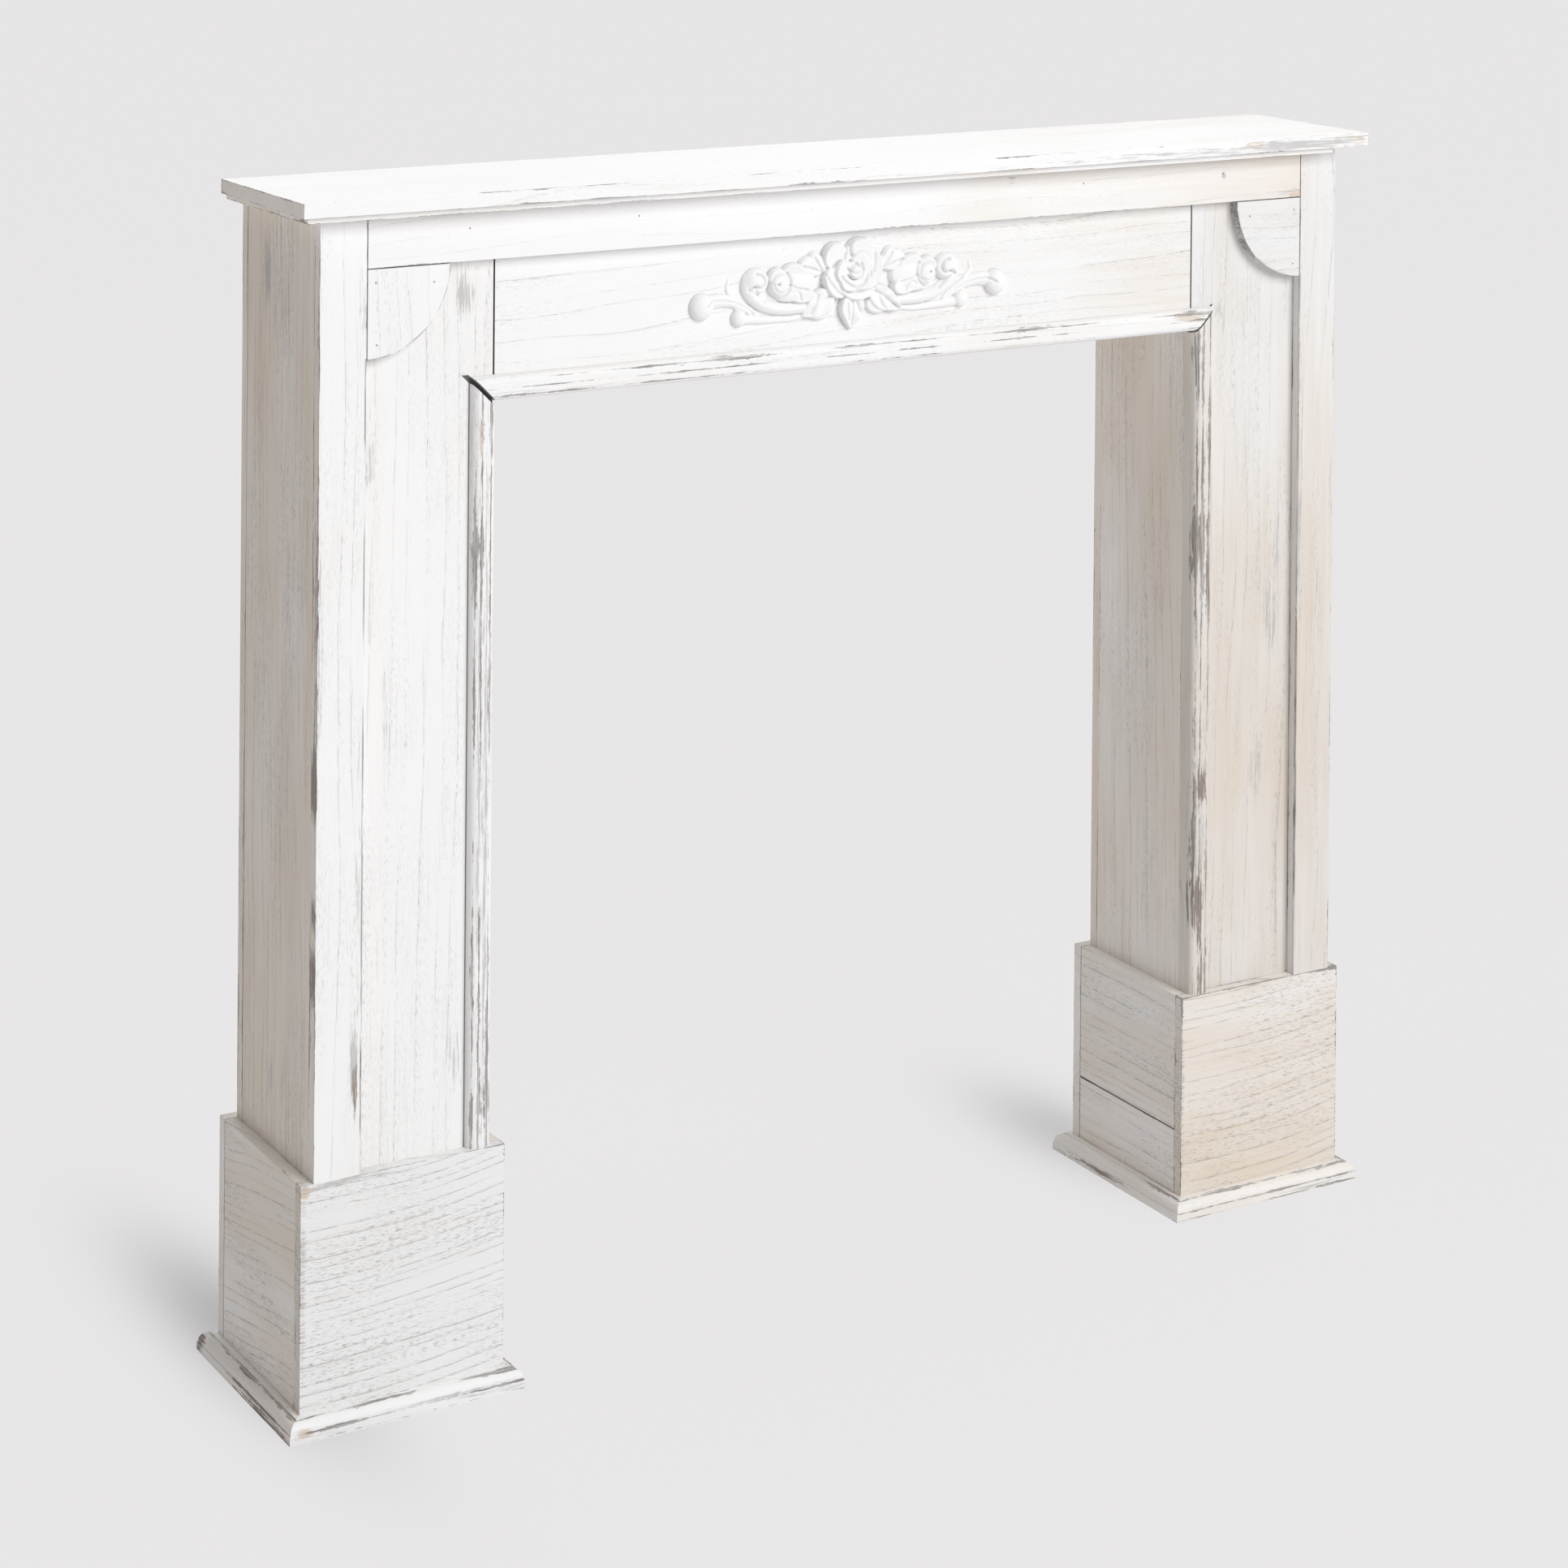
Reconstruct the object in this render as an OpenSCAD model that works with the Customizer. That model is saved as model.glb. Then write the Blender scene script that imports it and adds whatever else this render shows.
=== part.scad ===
// Free-standing fireplace surround: two boxed posts on plinths, a header with a carved
// ornament, an opening moulding and a stepped shelf. Real size, in millimetres.
// Z is up, the floor is Z = 0, the front faces -Y and X runs along the width.
// The origin is on the floor under the middle of the whole outline.

/* [Overall] */
// Height from the floor to the top of the shelf
overall_h = 1000; // [960:5:1080]
// Clear width between the inner faces of the two posts
opening_w = 720; // [640:5:800]
// Height of the opening from the floor to the underside of the header
opening_h = 822; // [790:1:830]

/* [Posts] */
// Width of each post
post_w = 160; // [145:1:180]
// Depth of each post box, front board to back board
post_d = 154; // [140:1:170]
// Thickness of the carcass, plinth and applied boards
board_t = 11; // [10:0.5:12]
// Width of the raised stile along the outer edge of each post
stile_w = 41; // [36:1:48]
// Height of the raised rail between the two stiles
rail_h = 42; // [38:1:46]
// Radius of the quarter-round brackets under the rail
bracket_r = 75; // [60:1:85]
// Open seam at the ends of the rail and along the straight edges of the brackets
seam = 1.1; // [0:0.1:1.5]

/* [Opening moulding] */
// Width of the moulding that edges the opening
edge_w = 21; // [18:0.5:24]
// Thickness of the moulding that edges the opening
edge_t = 9; // [8:0.5:10]
// Open gap in the left mitre of the opening moulding
left_mitre_gap = 4; // [1:0.5:5]
// Open gap in the right mitre of the opening moulding
right_mitre_gap = 1.5; // [0.5:0.5:5]
// Gap between each end of the frieze board and the post
frieze_gap = 1.6; // [1:0.2:4]

/* [Plinths] */
// Height of the plinth boards
plinth_h = 202; // [180:1:220]
// Height of the base moulding
base_h = 17; // [15:0.5:20]
// How far the base moulding stands out from the plinth
base_out = 14; // [12:0.5:16]
// Height of the lower strip of the right plinth's inner side board
strip_h = 76; // [60:1:100]

/* [Shelf] */
// Thickness of the shelf board
shelf_t = 12; // [10:0.5:15]
// Thickness of the strips under the shelf
under_t = 5; // [4:0.5:8]
// Shelf overhang past the outer face of each post
shelf_side_out = 23; // [15:1:30]
// Shelf overhang past the face of the rail
shelf_front_out = 21; // [15:1:30]
// How far the strips under the shelf are set back from its front and left edges
under_inset = 5; // [3:0.5:8]
// How far the right end of the strips under the shelf stops short of the post's outer face
under_right_in = 16; // [0:1:20]
// How far the back edge of the shelf sits in front of the back of the posts
shelf_set_back = 8; // [0:1:15]

/* [Ornament] */
// Sideways shift of the ornament from the middle of the frieze
ornament_shift = -12; // [-20:1:20]
// Height of the middle of the ornament above the floor
ornament_z = 893; // [890:1:896]

/* [Hidden] */
$fn = 64;

paint = [0.93, 0.92, 0.90];
paint_shade = [0.87, 0.85, 0.82];
bare_wood = [0.80, 0.70, 0.57];
casting = [0.95, 0.95, 0.94];
steel = [0.55, 0.56, 0.58];

// Across the width.
inner_x = opening_w / 2;
outer_x = inner_x + post_w;
stile_x = outer_x - stile_w;
plinth_inner_x = inner_x - board_t;
plinth_outer_x = outer_x + board_t;
plinth_w = plinth_outer_x - plinth_inner_x;
shelf_x = outer_x + shelf_side_out;
under_w = 60;
under_left_x = under_inset - shelf_x;
under_right_x = outer_x - under_right_in;

// Through the depth: the raised face, the panel behind it, and so on to the back.
plinth_d = post_d + 2 * board_t;
overall_d = shelf_front_out + plinth_d + base_out;
face_y = shelf_front_out - overall_d / 2;
panel_y = face_y + board_t;
post_back_y = panel_y + post_d;
plinth_back_y = post_back_y + board_t;
shelf_front_y = face_y - shelf_front_out;
shelf_back_y = post_back_y - shelf_set_back;
under_front_y = shelf_front_y + under_inset;
side_y0 = panel_y + board_t;
side_y1 = post_back_y - board_t;

// Up the height.
shelf_z = overall_h - shelf_t;
post_top = shelf_z - under_t;
rail_z = post_top - rail_h;
edge_top = opening_h + edge_w;

// Rounding of the mouldings' edges, as a share of the width.
edge_round = 0.3;

// Base moulding: the plain fillet at the floor and the ledge on top.
fillet_h = 7;
ledge_w = 6;

// Glue line between the two strips of the right plinth's inner side.
strip_joint = 0.8;

// Hidden framing and fasteners.
cleat = 20;
panel_t = 18;
back_rail_h = 60;
dowel_d = 8;
shelf_dowel_l = 24;
rail_dowel_l = 30;
screw_d = 4;
screw_head_d = 8;
screw_head_h = 2.5;
shelf_screw_l = 33;
cleat_screw_l = 28;
brad_d = 1.6;
brad_l = 18;
brad_set = 1;
cut = 1;

// A board given by its two opposite corners.
module board(x0, x1, y0, y1, z0, z1) {
    translate([x0, y0, z0]) cube([x1 - x0, y1 - y0, z1 - z0]);
}

// Everything on the left is the mirror image of the right.
module on_side(side) {
    if (side < 0) mirror([1, 0, 0]) children();
    else children();
}

// ---- Fastener places, shared by the fasteners and by the boards they pass through ----

shelf_dowel_x = outer_x - 32;
shelf_dowel_ys = [side_y0 + 24, side_y1 - 30];
back_rail_dowel_zs = [post_top - 18, post_top - back_rail_h + 18];
back_rail_y = side_y1 - panel_t / 2;
shelf_screw_xs = [-inner_x * 0.7, 0, inner_x * 0.7];
cleat_y = side_y0 + cleat / 2;
cleat_screw_zs = [opening_h + 35, rail_z - 25];

module shelf_dowel_places() {
    for (side = [-1, 1], y = shelf_dowel_ys)
        translate([side * shelf_dowel_x, y, shelf_z + 7 - shelf_dowel_l]) children();
}

module back_rail_dowel_places() {
    for (side = [-1, 1], z = back_rail_dowel_zs)
        translate([side * (inner_x + board_t), back_rail_y, z]) rotate([0, -90 * side, 0]) children();
}

module shelf_screw_places() {
    for (x = shelf_screw_xs) translate([x, cleat_y, post_top - cleat]) children();
}

module cleat_screw_places() {
    for (side = [-1, 1], z = cleat_screw_zs)
        translate([side * (inner_x - cleat), cleat_y, z]) rotate([0, 90 * side, 0]) children();
}

module bracket_brad_places() {
    for (side = [-1, 1], p = [[8, 12], [60, 15], [9, 63]])
        translate([side * (stile_x - p[0]), face_y, rail_z - p[1]]) rotate([-90, 0, 0]) children();
}

module rail_brad_places() {
    for (side = [-1, 1], dx = [92, 250])
        translate([side * (stile_x - dx), face_y, post_top - 15]) rotate([-90, 0, 0]) children();
}

module ornament_pin_places() {
    for (side = [-1, 1])
        translate([ornament_shift + side * 78, panel_y, ornament_z + 6]) rotate([-90, 0, 0]) children();
}

// ---- Fasteners ----

module wood_screw(length) {
    cylinder(h = screw_head_h, d1 = screw_head_d, d2 = screw_d);
    cylinder(h = length, d = screw_d);
}

module brad() {
    translate([0, 0, brad_set]) cylinder(h = brad_l, d = brad_d);
}

module shelf_dowels() {
    color(bare_wood) shelf_dowel_places() cylinder(h = shelf_dowel_l, d = dowel_d);
}

module back_rail_dowels() {
    color(bare_wood) back_rail_dowel_places() cylinder(h = rail_dowel_l, d = dowel_d);
}

module shelf_screws() {
    color(steel) shelf_screw_places() wood_screw(shelf_screw_l);
}

module cleat_screws() {
    color(steel) cleat_screw_places() wood_screw(cleat_screw_l);
}

module bracket_brads() {
    color(steel) bracket_brad_places() brad();
}

module rail_brads() {
    color(steel) rail_brad_places() brad();
}

// The ornament pins are pushed through the two buds into the frieze.
module ornament_pins() {
    color(steel) ornament_pin_places() translate([0, 0, -8]) cylinder(h = brad_l, d = brad_d);
}

// ---- Shelf ----

module shelf_board() {
    color(paint) difference() {
        board(-shelf_x, shelf_x, shelf_front_y, shelf_back_y, shelf_z, overall_h);
        shelf_dowel_places() cylinder(h = shelf_dowel_l, d = dowel_d);
        shelf_screw_places() cylinder(h = shelf_screw_l, d = screw_d);
    }
}

module under_strip_front() {
    color(paint) difference() {
        board(under_left_x, under_right_x, under_front_y, under_front_y + under_w, post_top, shelf_z);
        shelf_screw_places() cylinder(h = shelf_screw_l, d = screw_d);
        shelf_dowel_places() cylinder(h = shelf_dowel_l, d = dowel_d);
    }
}

module under_strip_back() {
    color(paint)
        board(under_left_x + under_w, under_right_x - under_w, shelf_back_y - under_w, shelf_back_y,
              post_top, shelf_z);
}

module under_strip_side(x0) {
    color(paint) difference() {
        board(x0, x0 + under_w, under_front_y + under_w, shelf_back_y, post_top, shelf_z);
        shelf_dowel_places() cylinder(h = shelf_dowel_l, d = dowel_d);
    }
}

// ---- Header ----

module top_rail() {
    color(paint) difference() {
        board(seam - stile_x, stile_x - seam, face_y, panel_y, rail_z, post_top);
        rail_brad_places() translate([0, 0, -cut]) cylinder(h = cut + brad_set + brad_l, d = brad_d);
    }
}

module frieze_board() {
    frieze_x = inner_x - frieze_gap;
    color(paint) difference() {
        board(-frieze_x, frieze_x, panel_y, side_y0, opening_h, post_top);
        rail_brad_places() cylinder(h = brad_set + brad_l, d = brad_d);
        ornament_pin_places() cylinder(h = brad_l - 8, d = brad_d);
    }
}

module frieze_cleat(side) {
    color(bare_wood) difference() {
        on_side(side)
            board(inner_x - cleat, inner_x, side_y0, side_y0 + cleat, opening_h + 6, post_top);
        cleat_screw_places() wood_screw(cleat_screw_l);
    }
}

module shelf_cleat() {
    cleat_x = inner_x - cleat;
    color(bare_wood) difference() {
        board(-cleat_x, cleat_x, side_y0, side_y0 + cleat, post_top - cleat, post_top);
        shelf_screw_places() wood_screw(shelf_screw_l);
    }
}

module header_back_rail() {
    color(paint_shade) difference() {
        board(-inner_x, inner_x, side_y1 - panel_t, side_y1, post_top - back_rail_h, post_top);
        back_rail_dowel_places() cylinder(h = rail_dowel_l, d = dowel_d);
    }
}

// ---- Moulding round the opening ----

// Cross-section of the opening moulding: flat back on Y = 0, both front edges rounded.
module edge_section() {
    r = edge_w * edge_round;
    square([edge_w, edge_t - r]);
    translate([r, 0]) square([edge_w - 2 * r, edge_t]);
    for (x = [r, edge_w - r]) translate([x, edge_t - r]) circle(r);
}

// Both pieces are cut to a shape seen from the front, which gives them their mitres.
module front_shape(points) {
    translate([0, panel_y, 0]) rotate([90, 0, 0]) linear_extrude(edge_t) polygon(points);
}

module header_moulding() {
    reach = inner_x + edge_w;
    color(paint) intersection() {
        translate([-reach, panel_y, edge_top])
            rotate([90, 0, 90]) mirror([1, 0]) rotate(-90) linear_extrude(2 * reach) edge_section();
        front_shape([[-reach, edge_top], [reach, edge_top], [inner_x, opening_h], [-inner_x, opening_h]]);
    }
}

module opening_moulding(side, gap) {
    drop = gap * sqrt(2);
    color(paint) on_side(side) intersection() {
        translate([inner_x + edge_w, panel_y, plinth_h]) rotate([0, 0, 180])
            linear_extrude(edge_top - plinth_h) edge_section();
        front_shape([
            [inner_x, plinth_h], [inner_x + edge_w, plinth_h],
            [inner_x + edge_w, edge_top - drop], [inner_x, opening_h - drop]
        ]);
    }
}

// ---- Carved ornament ----

// A low rounded mound of base radius a and height h, sitting on Z = 0.
module mound(a, h) {
    hull() {
        cylinder(h = h * 0.45, r = a);
        cylinder(h = h * 0.8, r = a * 0.78);
        cylinder(h = h, r = a * 0.45);
    }
}

// A pointed leaf lying along X from the origin, raised to a rib along its middle.
module leaf(length, width, thick) {
    hull() {
        for (i = [0:4]) translate([length * i / 4, 0, 0])
            cylinder(h = thick * 0.4, r = 0.6 + width / 2 * sin(i * 45));
        translate([length * 0.15, -0.5, 0]) cube([length * 0.7, 1, thick]);
    }
}

// A rounded stem from one point to another, with its own radius at each end.
module stem(p0, p1, r0, r1) {
    hull() {
        translate(p0) mound(r0, r0);
        translate(p1) mound(r1, r1);
    }
}

// A rounded arm bent round an arc, thinner towards its far end.
module arm(bend_r, from, to, r0, r1) {
    steps = 5;
    spot = [for (i = [0:steps]) from + (to - from) * i / steps];
    for (i = [0:steps - 1])
        stem([bend_r * cos(spot[i]), bend_r * sin(spot[i])],
             [bend_r * cos(spot[i + 1]), bend_r * sin(spot[i + 1])],
             r0 + (r1 - r0) * i / steps, r0 + (r1 - r0) * (i + 1) / steps);
}

module centre_rose() {
    cylinder(h = 5, r = 22);
    for (i = [0:4]) rotate(90 + i * 72) translate([15, 0, 0]) mound(14, 9);
    mound(12, 13);
    translate([-4, -12, 0]) rotate(-97) leaf(28, 20, 6);
}

module ornament_half() {
    translate([18, 6, 0]) rotate(28) leaf(42, 20, 6);
    translate([12, -8, 0]) rotate(-28) leaf(42, 18, 6);
    translate([64, 3, 0]) mound(18, 8);
    translate([78, 6, 0]) mound(10, 10);
    translate([83, 6, 0]) arm(21, -125, 12, 5, 8);
    stem([24, -14], [76, -17], 5, 6);
    stem([66, -24], [113, -22], 2.5, 4);
    translate([115, -22, 0]) mound(8, 7);
    translate([137, -28, 0]) arm(25, 160, 60, 3, 5);
    translate([151, -9, 0]) mound(11, 9);
    translate([119, -13, 0]) rotate(93) leaf(26, 8, 4);
}

module rose_ornament() {
    color(casting) difference() {
        translate([ornament_shift, panel_y, ornament_z]) rotate([90, 0, 0]) union() {
            translate([0, 13, 0]) centre_rose($fn = 18);
            ornament_half($fn = 18);
            mirror([1, 0, 0]) ornament_half($fn = 18);
        }
        ornament_pin_places() translate([0, 0, -20]) cylinder(h = 21, d = brad_d);
    }
}

// ---- Posts ----

module stile(side) {
    color(paint) on_side(side) board(stile_x, outer_x, face_y, panel_y, plinth_h, post_top);
}

module bracket(side) {
    color(paint) difference() {
        on_side(side) intersection() {
            translate([stile_x, panel_y, rail_z]) rotate([90, 0, 0]) cylinder(h = board_t, r = bracket_r);
            board(stile_x - bracket_r, stile_x - seam, face_y, panel_y, rail_z - bracket_r, rail_z - seam);
        }
        bracket_brad_places() translate([0, 0, -cut]) cylinder(h = cut + brad_set + brad_l, d = brad_d);
    }
}

module post_front(side) {
    color(paint) difference() {
        on_side(side) board(inner_x, outer_x, panel_y, side_y0, 0, post_top);
        bracket_brad_places() cylinder(h = brad_set + brad_l, d = brad_d);
        rail_brad_places() cylinder(h = brad_set + brad_l, d = brad_d);
    }
}

module post_back(side) {
    color(paint_shade) on_side(side) board(inner_x, outer_x, side_y1, post_back_y, 0, post_top);
}

module post_outer_side(side) {
    color(paint_shade) on_side(side) board(outer_x - board_t, outer_x, side_y0, side_y1, 0, post_top);
}

module post_inner_side(side) {
    color(paint_shade) difference() {
        on_side(side) board(inner_x, inner_x + board_t, side_y0, side_y1, 0, post_top);
        back_rail_dowel_places() cylinder(h = rail_dowel_l, d = dowel_d);
        cleat_screw_places() cylinder(h = cleat_screw_l, d = screw_d);
    }
}

module post_top_panel(side) {
    color(bare_wood) difference() {
        on_side(side)
            board(inner_x + board_t, outer_x - board_t, side_y0, side_y1, post_top - panel_t, post_top);
        shelf_dowel_places() cylinder(h = shelf_dowel_l, d = dowel_d);
    }
}

// ---- Plinths ----

module plinth_front(side) {
    color(paint) on_side(side) board(plinth_inner_x, plinth_outer_x, face_y, panel_y, 0, plinth_h);
}

module plinth_back(side) {
    color(paint) on_side(side)
        board(plinth_inner_x, plinth_outer_x, post_back_y, plinth_back_y, 0, plinth_h);
}

module plinth_outer_side(side) {
    color(paint) on_side(side) board(outer_x, plinth_outer_x, panel_y, post_back_y, 0, plinth_h);
}

// The inner side is one board on the left and two glued strips on the right.
module plinth_inner_side(side, z0, z1) {
    color(paint) on_side(side) board(plinth_inner_x, inner_x, panel_y, post_back_y, z0, z1);
}

// ---- Base moulding ----

// Cross-section: a plain fillet at the floor, a quarter round, then a narrow flat top.
module base_section() {
    round_x = ledge_w - 1;
    r = base_out - ledge_w;
    square([base_out, fillet_h]);
    square([round_x, base_h]);
    square([round_x + r, base_h - r - 1]);
    intersection() {
        translate([round_x, base_h - r - 1]) circle(r);
        translate([round_x, 0]) square([r, base_h]);
    }
}

// A strip along +X that faces -Y, mitred outwards at both ends.
module base_strip(length) {
    intersection() {
        translate([-base_out, 0, 0]) rotate([90, 0, 90]) mirror([1, 0])
            linear_extrude(length + 2 * base_out) base_section();
        linear_extrude(base_h) polygon([
            [0, 0], [length, 0], [length + base_out, -base_out], [-base_out, -base_out]
        ]);
    }
}

module base_front(side) {
    color(paint) on_side(side) translate([plinth_inner_x, face_y, 0]) base_strip(plinth_w);
}

module base_back(side) {
    color(paint) on_side(side)
        translate([plinth_outer_x, plinth_back_y, 0]) rotate([0, 0, 180]) base_strip(plinth_w);
}

module base_outer(side) {
    color(paint) on_side(side)
        translate([plinth_outer_x, face_y, 0]) rotate([0, 0, 90]) base_strip(plinth_d);
}

module base_inner(side) {
    color(paint) on_side(side)
        translate([plinth_inner_x, plinth_back_y, 0]) rotate([0, 0, -90]) base_strip(plinth_d);
}

// ---- Nodes ----

shelf_board();
under_strip_front();
under_strip_back();
under_strip_side(under_left_x);  // under_strip_left
under_strip_side(under_right_x - under_w);  // under_strip_right
top_rail();
frieze_board();
frieze_cleat(-1);  // frieze_cleat_left
frieze_cleat(1);  // frieze_cleat_right
shelf_cleat();
header_back_rail();
rose_ornament();
header_moulding();
opening_moulding(-1, left_mitre_gap);  // left_opening_moulding
opening_moulding(1, right_mitre_gap);  // right_opening_moulding
stile(-1);  // left_stile
stile(1);  // right_stile
bracket(-1);  // left_bracket
bracket(1);  // right_bracket
post_front(-1);  // left_post_front
post_front(1);  // right_post_front
post_back(-1);  // left_post_back
post_back(1);  // right_post_back
post_outer_side(-1);  // left_post_outer_side
post_outer_side(1);  // right_post_outer_side
post_inner_side(-1);  // left_post_inner_side
post_inner_side(1);  // right_post_inner_side
post_top_panel(-1);  // left_post_top_panel
post_top_panel(1);  // right_post_top_panel
plinth_front(-1);  // left_plinth_front
plinth_front(1);  // right_plinth_front
plinth_back(-1);  // left_plinth_back
plinth_back(1);  // right_plinth_back
plinth_outer_side(-1);  // left_plinth_outer_side
plinth_outer_side(1);  // right_plinth_outer_side
plinth_inner_side(-1, 0, plinth_h);  // left_plinth_inner_side
plinth_inner_side(1, strip_h + strip_joint, plinth_h);  // right_plinth_inner_side_upper
plinth_inner_side(1, 0, strip_h);  // right_plinth_inner_side_lower
base_front(-1);  // left_base_front
base_front(1);  // right_base_front
base_back(-1);  // left_base_back
base_back(1);  // right_base_back
base_outer(-1);  // left_base_outer
base_outer(1);  // right_base_outer
base_inner(-1);  // left_base_inner
base_inner(1);  // right_base_inner
shelf_dowels();
back_rail_dowels();
shelf_screws();
cleat_screws();
bracket_brads();
rail_brads();
ornament_pins();
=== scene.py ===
"""Whitewashed fireplace surround: materials, carved ornament, light and camera round the CAD frame.
Everything is in metres in the CAD frame; sizes written in millimetres go through MM."""

import math

import bpy
import numpy as np
from mathutils import Matrix, Vector

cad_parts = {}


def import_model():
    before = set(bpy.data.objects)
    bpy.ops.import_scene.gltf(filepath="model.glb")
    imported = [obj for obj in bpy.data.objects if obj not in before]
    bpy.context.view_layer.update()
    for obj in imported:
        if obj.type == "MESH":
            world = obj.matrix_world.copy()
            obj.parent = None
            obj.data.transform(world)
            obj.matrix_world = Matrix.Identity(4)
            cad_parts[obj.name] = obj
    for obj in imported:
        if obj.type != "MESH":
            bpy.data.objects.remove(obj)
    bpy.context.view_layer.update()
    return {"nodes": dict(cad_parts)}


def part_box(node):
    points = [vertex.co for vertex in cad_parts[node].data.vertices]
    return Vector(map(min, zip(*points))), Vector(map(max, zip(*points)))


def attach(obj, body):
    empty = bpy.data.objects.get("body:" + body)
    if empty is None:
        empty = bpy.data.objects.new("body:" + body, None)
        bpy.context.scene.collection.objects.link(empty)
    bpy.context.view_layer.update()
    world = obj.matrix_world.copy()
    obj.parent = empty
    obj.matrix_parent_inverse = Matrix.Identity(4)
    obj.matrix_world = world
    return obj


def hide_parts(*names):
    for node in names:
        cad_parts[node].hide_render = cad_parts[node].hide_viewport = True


MM = 0.001
AXES = {"x": 0, "y": 1, "z": 2}

# Albedo of the finish and of what shows through it, and two colours of painted shade: one for narrow gaps
# and one for the hollows of the casting.
PAINT = (0.90, 0.90, 0.895)
WOOD = (0.80, 0.685, 0.55)
DARK = (0.185, 0.165, 0.15)
GREY = (0.40, 0.395, 0.39)
TAN = (0.62, 0.50, 0.38)
BROWN = (0.27, 0.225, 0.20)
# Near-black painted shade for narrow gaps, slots and corners.
GAP_SHADE = (0.055, 0.052, 0.05)
RING = (0.235, 0.215, 0.195)
STEEL = (0.42, 0.42, 0.43)
CAST = (0.88, 0.88, 0.885)
# Grey of the painted shade in the casting's hollows.
CAST_HOLLOW_SHADE = (0.42, 0.43, 0.45)

RING_SPACING = 13.5
# Cover of the wash on faces that look sideways, and how much more they are worn.
FLANK_COVER = 0.42
FLANK_WEAR = 0.28

# Places in the frame that the finishes and the carving need, in millimetres.
OPENING_X, OPENING_Z = 360.0, 822.0
STILE_X = 479.0
RAIL_Z = 941.0
BRACKET_R = 75.0
PLINTH_H = 202.0
PANEL_Y = -73.5
ORNAMENT_X = -12.0
# Drop of each upright moulding below its mitre line.
MITRE_DROP = {"left": 5.7, "right": 2.1}


class Graph:
    """A small shader builder: each method adds one node and returns its output socket."""

    def __init__(self, tree):
        self.tree = tree

    def node(self, kind, **settings):
        made = self.tree.nodes.new(kind)
        for key, value in settings.items():
            setattr(made, key, value)
        return made

    def feed(self, value, socket):
        if isinstance(value, bpy.types.NodeSocket):
            self.tree.links.new(value, socket)
        elif isinstance(value, (tuple, list)) and len(value) == 3 and len(socket.default_value) == 4:
            socket.default_value = (*value, 1.0)
        else:
            socket.default_value = value

    def math(self, op, a, b=0.0, c=0.0, clamp=False):
        made = self.node("ShaderNodeMath", operation=op, use_clamp=clamp)
        for value, socket in zip((a, b, c), made.inputs):
            self.feed(value, socket)
        return made.outputs[0]

    def add(self, a, b):
        return self.math("ADD", a, b)

    def sub(self, a, b):
        return self.math("SUBTRACT", a, b)

    def mul(self, a, b):
        return self.math("MULTIPLY", a, b)

    def low(self, a, b):
        return self.math("MINIMUM", a, b)

    def high(self, a, b):
        return self.math("MAXIMUM", a, b)

    def fade(self, distance, reach):
        """1 at distance 0, falling off over reach."""
        return self.math("EXPONENT", self.mul(distance, -1.0 / reach))

    def vector(self, x, y, z):
        made = self.node("ShaderNodeCombineXYZ")
        for value, socket in zip((x, y, z), made.inputs):
            self.feed(value, socket)
        return made.outputs[0]

    def split(self, vector):
        made = self.node("ShaderNodeSeparateXYZ")
        self.feed(vector, made.inputs[0])
        return list(made.outputs)

    def scaled(self, vector, factors):
        made = self.node("ShaderNodeVectorMath", operation="MULTIPLY")
        self.feed(vector, made.inputs[0])
        made.inputs[1].default_value = factors
        return made.outputs[0]

    def shifted(self, vector, offset):
        made = self.node("ShaderNodeVectorMath", operation="ADD")
        self.feed(vector, made.inputs[0])
        self.feed(offset, made.inputs[1])
        return made.outputs[0]

    def noise(self, vector, factors, detail=2.0, rough=0.5):
        made = self.node("ShaderNodeTexNoise")
        self.feed(self.scaled(vector, factors), made.inputs["Vector"])
        made.inputs["Scale"].default_value = 1.0
        made.inputs["Detail"].default_value = detail
        made.inputs["Roughness"].default_value = rough
        return made.outputs[0]

    def step(self, value, start, end):
        """0 below start, 1 above end, smooth between; start may be above end."""
        made = self.node("ShaderNodeMapRange", interpolation_type="SMOOTHSTEP")
        self.feed(value, made.inputs["Value"])
        self.feed(start, made.inputs["From Min"])
        self.feed(end, made.inputs["From Max"])
        return made.outputs[0]

    def mix(self, share, a, b):
        made = self.node("ShaderNodeMix", data_type="RGBA")
        self.feed(share, made.inputs[0])
        self.feed(a, made.inputs[6])
        self.feed(b, made.inputs[7])
        return made.outputs[2]

    def blend(self, share, a, b):
        made = self.node("ShaderNodeMix", data_type="FLOAT")
        for value, socket in zip((share, a, b), (made.inputs[0], made.inputs[2], made.inputs[3])):
            self.feed(value, socket)
        return made.outputs[0]


# Number inputs of the wood group, in order, with the values they start from.
WOOD_NUMBERS = {
    "Seed": 0.0,
    "Log across": 60.0,
    "Log deep": 80.0,
    "Log tilt": 0.0,
    "Log bend": 0.0,
    "Spacing": RING_SPACING,
    "Cover": 0.8,
    "Tone": 1.0,
    "Grain": 1.0,
    "Edge": 50.0,
    "Wear": 0.5,
    "Smudge": 0.0,
    "Bare": 0.0,
    "Tan": 0.0,
    "Fibre": 0.2,
}

# How far the log axis, the rings and single rings wander, in millimetres.
LOG_WANDER = 45.0
RING_WANDER = 10.0
RING_RIPPLE = 2.4
# Width of the dark line that starts a ring and of the band of pores after it, in millimetres.
RING_LINE = 0.55
PORE_BAND = 4.0
# Distance over which an edge is rubbed, and where the rubbing ends, in millimetres.
RUB_WIDTH = 1.5
RUB_REACH = (5.5, 2.5)


def centred(g, *args):
    """Noise that is as often below 0 as above."""
    return g.sub(g.noise(*args), 0.5)


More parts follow.
